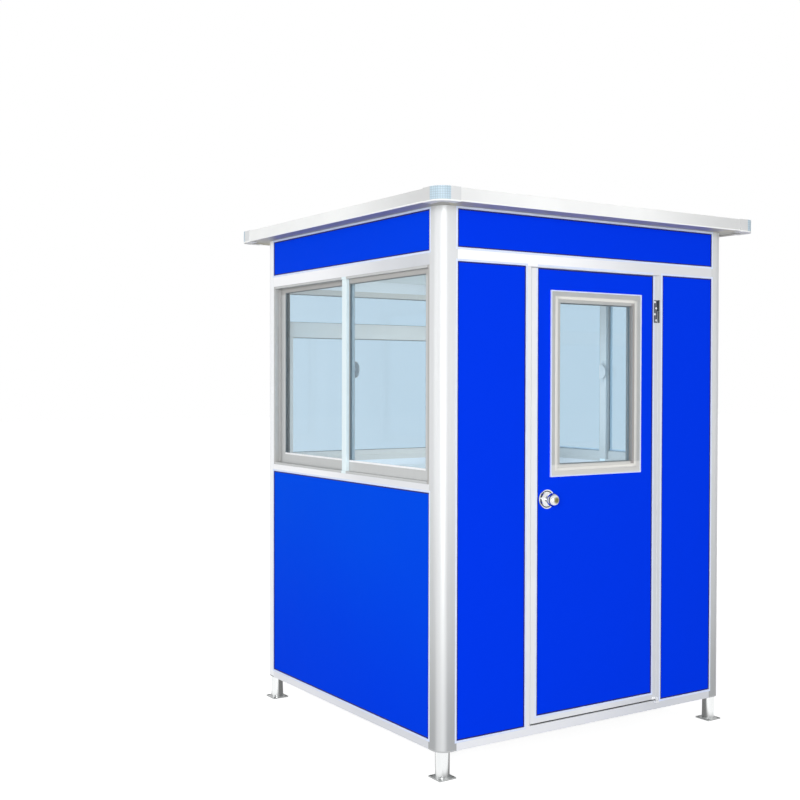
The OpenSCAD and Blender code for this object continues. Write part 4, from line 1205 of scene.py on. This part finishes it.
class BOOTH_OT_lock(bpy.types.Operator):
    """Plate the knobs and roses, and add the key cylinder, thumb button, latch and strike"""

    bl_idname = "booth.lock"
    bl_label = "Lock"

    def execute(self, context):
        finishes = context.scene.booth_finishes
        dress(["door_lock_roses", "door_knobs"], chromed_lock(finishes))
        low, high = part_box("door_knobs")
        axis_x = (low.x + high.x) / 2
        axis_z = (low.z + high.z) / 2
        # Painted shade: the dark finish in the keyway and in the latch plate's screws.
        dark = moulded_plastic("dark_recess", finishes.dark, 0.7)
        self.fit_key(finishes, dark, facing((axis_x, low.y, axis_z), (0, -1, 0)))
        self.fit_button(finishes, facing((axis_x, high.y, axis_z), (0, 1, 0)))
        self.fit_plates(finishes, dark, axis_z)
        return {"FINISHED"}

    def fit_key(self, finishes, dark, place):
        """Brass key cylinder in the outer knob, with a dark keyway in painted shade."""
        brass = plated_metal("machined_brass", finishes.brass, 0.25)
        r = bpy.context.scene.booth_fittings.plug_r
        work = bmesh.new()
        add_turned(work, [(r * 1.25, -0.4 * MM), (r * 1.25, 0.5 * MM), (r * 1.12, 0.9 * MM),
                          (r * 1.0, 0.9 * MM), (r * 0.98, 0.4 * MM), (r * 0.9, 0.4 * MM),
                          (r * 0.86, 1.0 * MM), (0.0, 1.0 * MM)], place)
        slot = bmesh.ops.create_cube(work, size=1.0)["verts"]
        bmesh.ops.scale(work, verts=slot, vec=(1.8 * MM, r * 1.2, 0.5 * MM))
        rounded = joined_to(round_edges(work, edges_of(slot), 0.2 * MM, 2)[0])
        bmesh.ops.transform(work, matrix=place @ Matrix.Translation((0, 0, 0.85 * MM)), verts=rounded)
        for face in {f for v in rounded for f in v.link_faces}:
            face.material_index = 1
        finish_piece("key_cylinder", work, [brass, dark], "knob")

    def fit_button(self, finishes, place):
        """Chromed thumb button in the inner knob."""
        chrome = plated_metal("polished_chrome_button", finishes.chrome, 0.09)
        work = bmesh.new()
        add_turned(work, [(6.5 * MM, -0.4 * MM), (6.5 * MM, 0.8 * MM), (5.2 * MM, 1.2 * MM),
                          (5.0 * MM, 4.2 * MM), (4.2 * MM, 5.0 * MM), (0.0, 5.2 * MM)], place)
        finish_piece("lock_button", work, [chrome], "knob")

    def fit_plates(self, finishes, dark, height):
        """Latch plate on the edge of the leaf and strike plate on the jamb, at the knob's height."""
        steel = brushed_steel(finishes)
        leaf_low, leaf_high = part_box("door_edge_trim")
        middle_y = (leaf_low.y + leaf_high.y) / 2
        latch = facing((leaf_low.x, middle_y, height), (-1, 0, 0))
        work = bmesh.new()
        corner = bpy.context.scene.booth_fittings.plate_corner_r
        add_rounded_plate(work, 24 * MM, 58 * MM, 0.8 * MM, corner, latch)
        add_rounded_plate(work, 12 * MM, 16 * MM, 2.0 * MM, 1.5 * MM, latch)
        for rise in (-22 * MM, 22 * MM):
            add_screw(work, latch @ Matrix.Translation((0, rise, 0.6 * MM)), 3.0 * MM, 0.8 * MM)
        finish_piece("latch_plate", work, [steel, dark], "door")
        strike = facing((leaf_low.x - DOOR_GAP, middle_y, height), (1, 0, 0))
        work = bmesh.new()
        add_frame_ring(work, 24 * MM, 60 * MM, 5 * MM, 0.7 * MM, strike, 0.2 * MM)
        finish_piece("strike_plate", work, [steel], "booth")


class BOOTH_OT_hinge(bpy.types.Operator):
    """Finish the hinge and the bottom pivot, and put screws in their plates"""

    bl_idname = "booth.hinge"
    bl_label = "Hinge"

    def execute(self, context):
        finishes = context.scene.booth_finishes
        fittings = context.scene.booth_fittings
        dress(["door_hinge_leaf", "jamb_hinge_leaf"], hinge_steel(finishes))
        bright = plated_metal("nickel_plated_screw", finishes.screw_bright, 0.3)
        # Painted shade: the dark finish in the screws' crosses.
        dark = moulded_plastic("dark_recess", finishes.dark, 0.7)
        low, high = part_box("door_hinge_leaf")
        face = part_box("door_edge_trim")[0].y - HINGE_PLATE_T
        work = bmesh.new()
        # Screws of the hinge: millimetres from the plate's edge, and the share of its height.
        for across, share in ((13.5, 0.106), (5.5, 0.38), (13.5, 0.642), (5.5, 0.917)):
            point = (low.x + across * MM, face, high.z - HINGE_PLATE_H + share * HINGE_PLATE_H)
            add_screw(work, facing(point, (0, -1, 0)), fittings.screw_r, fittings.screw_h, share)
        # Smaller screws of the pivot: millimetres from the plate's edge.
        for across in (5, 15):
            point = (low.x + across * MM, face, low.z + 5 * MM)
            add_screw(work, facing(point, (0, -1, 0)), fittings.screw_r * 0.8, fittings.screw_h, across)
        finish_piece("hinge_screws", work, [bright, dark], "door")
        return {"FINISHED"}


class BOOTH_OT_studio(bpy.types.Operator):
    """Lay the floor, set the lamps and the sky, and place the camera"""

    bl_idname = "booth.studio"
    bl_label = "Studio"

    def execute(self, context):
        scene = context.scene
        studio = scene.booth_studio
        scene.view_settings.view_transform = "Standard"
        self.lay_floor(studio)
        self.set_sky(scene, studio)
        self.hang_square("key_lamp", (-7.5, -9.0, 2.2), 4.0, studio.key)
        self.hang_square("fill_lamp", (3.5, -8.0, 1.9), 3.0, studio.fill)
        self.hang_square("side_lamp", (-6.0, 2.2, 1.9), 3.0, studio.side)
        self.hang_globe("cabin_lamp", (0.1, -0.1, 1.5), 0.3, studio.cabin)
        camera = bpy.data.cameras.new("photo_camera")
        camera.lens = studio.lens
        camera.sensor_width = 36.0
        camera.clip_end = 200.0
        eye = bpy.data.objects.new("photo_camera", camera)
        turn = (Matrix.Rotation(-studio.camera_yaw, 4, "Z")
                @ Matrix.Rotation(math.pi / 2 - studio.camera_pitch, 4, "X")
                @ Matrix.Rotation(studio.camera_roll, 4, "Z"))
        eye.matrix_world = Matrix.Translation(Vector(studio.camera_place)) @ turn
        scene.collection.objects.link(eye)
        scene.camera = eye
        return {"FINISHED"}

    def lay_floor(self, studio):
        """Pale floor: white to the eye, with the booth's soft shadow, and grey to bounced light."""
        work = bmesh.new()
        bmesh.ops.create_grid(work, x_segments=studio.floor_segments, y_segments=studio.floor_segments,
                              size=studio.floor_size)
        mesh = bpy.data.meshes.new("studio_floor")
        work.to_mesh(mesh)
        work.free()
        floor = bpy.data.objects.new("studio_floor", mesh)
        bpy.context.scene.collection.objects.link(floor)
        material, node, shader, place = start_material("studio_floor_paint", Specular_IOR_Level=0.0)
        mesh.materials.append(material)
        shader.inputs["Base Color"].default_value = rgba(studio.floor_grey)
        glow = node("Emission", Strength=0.86)
        pale = node("BsdfDiffuse", Color=(0.6, 0.6, 0.6, 1.0))
        seen = node("AddShader", glow, pale)
        # Through glass the floor is as white as the sky, so that no horizon shows. In mirrors it is white
        # round the booth, with a painted shadow under it.
        white = node("Emission", Strength=1.0)
        across, deep = spot_of(node, place)[:2]
        farther = node("Math", across, deep, operation="MAXIMUM")
        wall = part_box("bottom_rail_right")[1].x
        bright = node("MapRange", farther, wall - 70 * MM, wall + 70 * MM, 0.2, 1.1, **SOFT)
        mirrored = node("Emission", Strength=bright)
        rays = node("LightPath").outputs
        look = shader
        for ray, shown in (("Is Glossy Ray", mirrored),
                           ("Is Transmission Ray", white),
                           ("Is Camera Ray", seen)):
            look = node("MixShader", rays[ray], look, shown)
        fill(material.node_tree.nodes["Material Output"].inputs["Surface"], look)

    def set_sky(self, scene, studio):
        """Even light from all round, which the eye, mirrors and glass see as white."""
        world = bpy.data.worlds.new("studio_sky")
        scene.world = world
        world.use_nodes = True
        node = partial(add_node, world.node_tree)
        sky = world.node_tree.nodes["Background"]
        sky.inputs["Color"].default_value = (1.0, 1.0, 1.0, 1.0)
        sky.inputs["Strength"].default_value = studio.sky
        white = node("Background", Color=(1.0, 1.0, 1.0, 1.0), Strength=1.0)
        rays = node("LightPath").outputs
        seen = node("Math", rays["Is Camera Ray"], rays["Is Glossy Ray"], operation="MAXIMUM")
        seen = node("Math", seen, rays["Is Transmission Ray"], operation="MAXIMUM")
        fill(world.node_tree.nodes["World Output"].inputs["Surface"], node("MixShader", seen, sky, white))

    def hang_square(self, name, place, size, power):
        """Square soft lamp that points at the booth and shows only in mirrors."""
        lamp = bpy.data.lights.new(name, "AREA")
        lamp.size = size
        aim = Vector((0.0, 0.0, 1.3)) - Vector(place)
        self.hang(lamp, power, place, aim.to_track_quat("-Z", "Y"))

    def hang_globe(self, name, place, radius, power):
        """Round soft lamp that shines all round and is never seen itself."""
        lamp = bpy.data.lights.new(name, "POINT")
        lamp.shadow_soft_size = radius
        self.hang(lamp, power, place, Quaternion()).visible_glossy = False

    def hang(self, lamp, power, place, turn):
        """Puts a lamp in its place, out of sight of the eye and of glass."""
        lamp.energy = power
        hung = bpy.data.objects.new(lamp.name, lamp)
        hung.matrix_world = Matrix.Translation(Vector(place)) @ turn.to_matrix().to_4x4()
        hung.visible_camera = False
        hung.visible_transmission = False
        bpy.context.scene.collection.objects.link(hung)
        return hung


OPERATORS = (BOOTH_OT_panels, BOOTH_OT_profiles, BOOTH_OT_base, BOOTH_OT_roof, BOOTH_OT_windows,
             BOOTH_OT_beads, BOOTH_OT_door, BOOTH_OT_gaskets, BOOTH_OT_lock, BOOTH_OT_hinge,
             BOOTH_OT_studio)


class BOOTH_PT_sidebar(bpy.types.Panel):
    """Lists the booth's pieces and settings in the sidebar"""

    bl_idname = "BOOTH_PT_sidebar"
    bl_label = "Guard booth"
    bl_space_type = "VIEW_3D"
    bl_region_type = "UI"
    bl_category = "Guard booth"

    def draw(self, context):
        for operator in OPERATORS:
            self.layout.operator(operator.bl_idname)
        for name in ("booth_finishes", "booth_fittings", "booth_studio"):
            group = getattr(context.scene, name)
            box = self.layout.box()
            for key in group.__annotations__:
                box.prop(group, key)


CLASSES = (BoothFinishes, BoothFittings, BoothStudio) + OPERATORS + (BOOTH_PT_sidebar,)


def register():
    for item in CLASSES:
        bpy.utils.register_class(item)
    bpy.types.Scene.booth_finishes = PointerProperty(type=BoothFinishes)
    bpy.types.Scene.booth_fittings = PointerProperty(type=BoothFittings)
    bpy.types.Scene.booth_studio = PointerProperty(type=BoothStudio)


def unregister():
    del bpy.types.Scene.booth_studio
    del bpy.types.Scene.booth_fittings
    del bpy.types.Scene.booth_finishes
    for item in reversed(CLASSES):
        bpy.utils.unregister_class(item)


def main():
    register()
    bpy.ops.booth.panels()
    bpy.ops.booth.profiles()
    bpy.ops.booth.base()
    bpy.ops.booth.roof()
    bpy.ops.booth.windows()
    bpy.ops.booth.beads()
    bpy.ops.booth.door()
    bpy.ops.booth.gaskets()
    bpy.ops.booth.lock()
    bpy.ops.booth.hinge()
    bpy.ops.booth.studio()


if __name__ == "__main__":
    main()
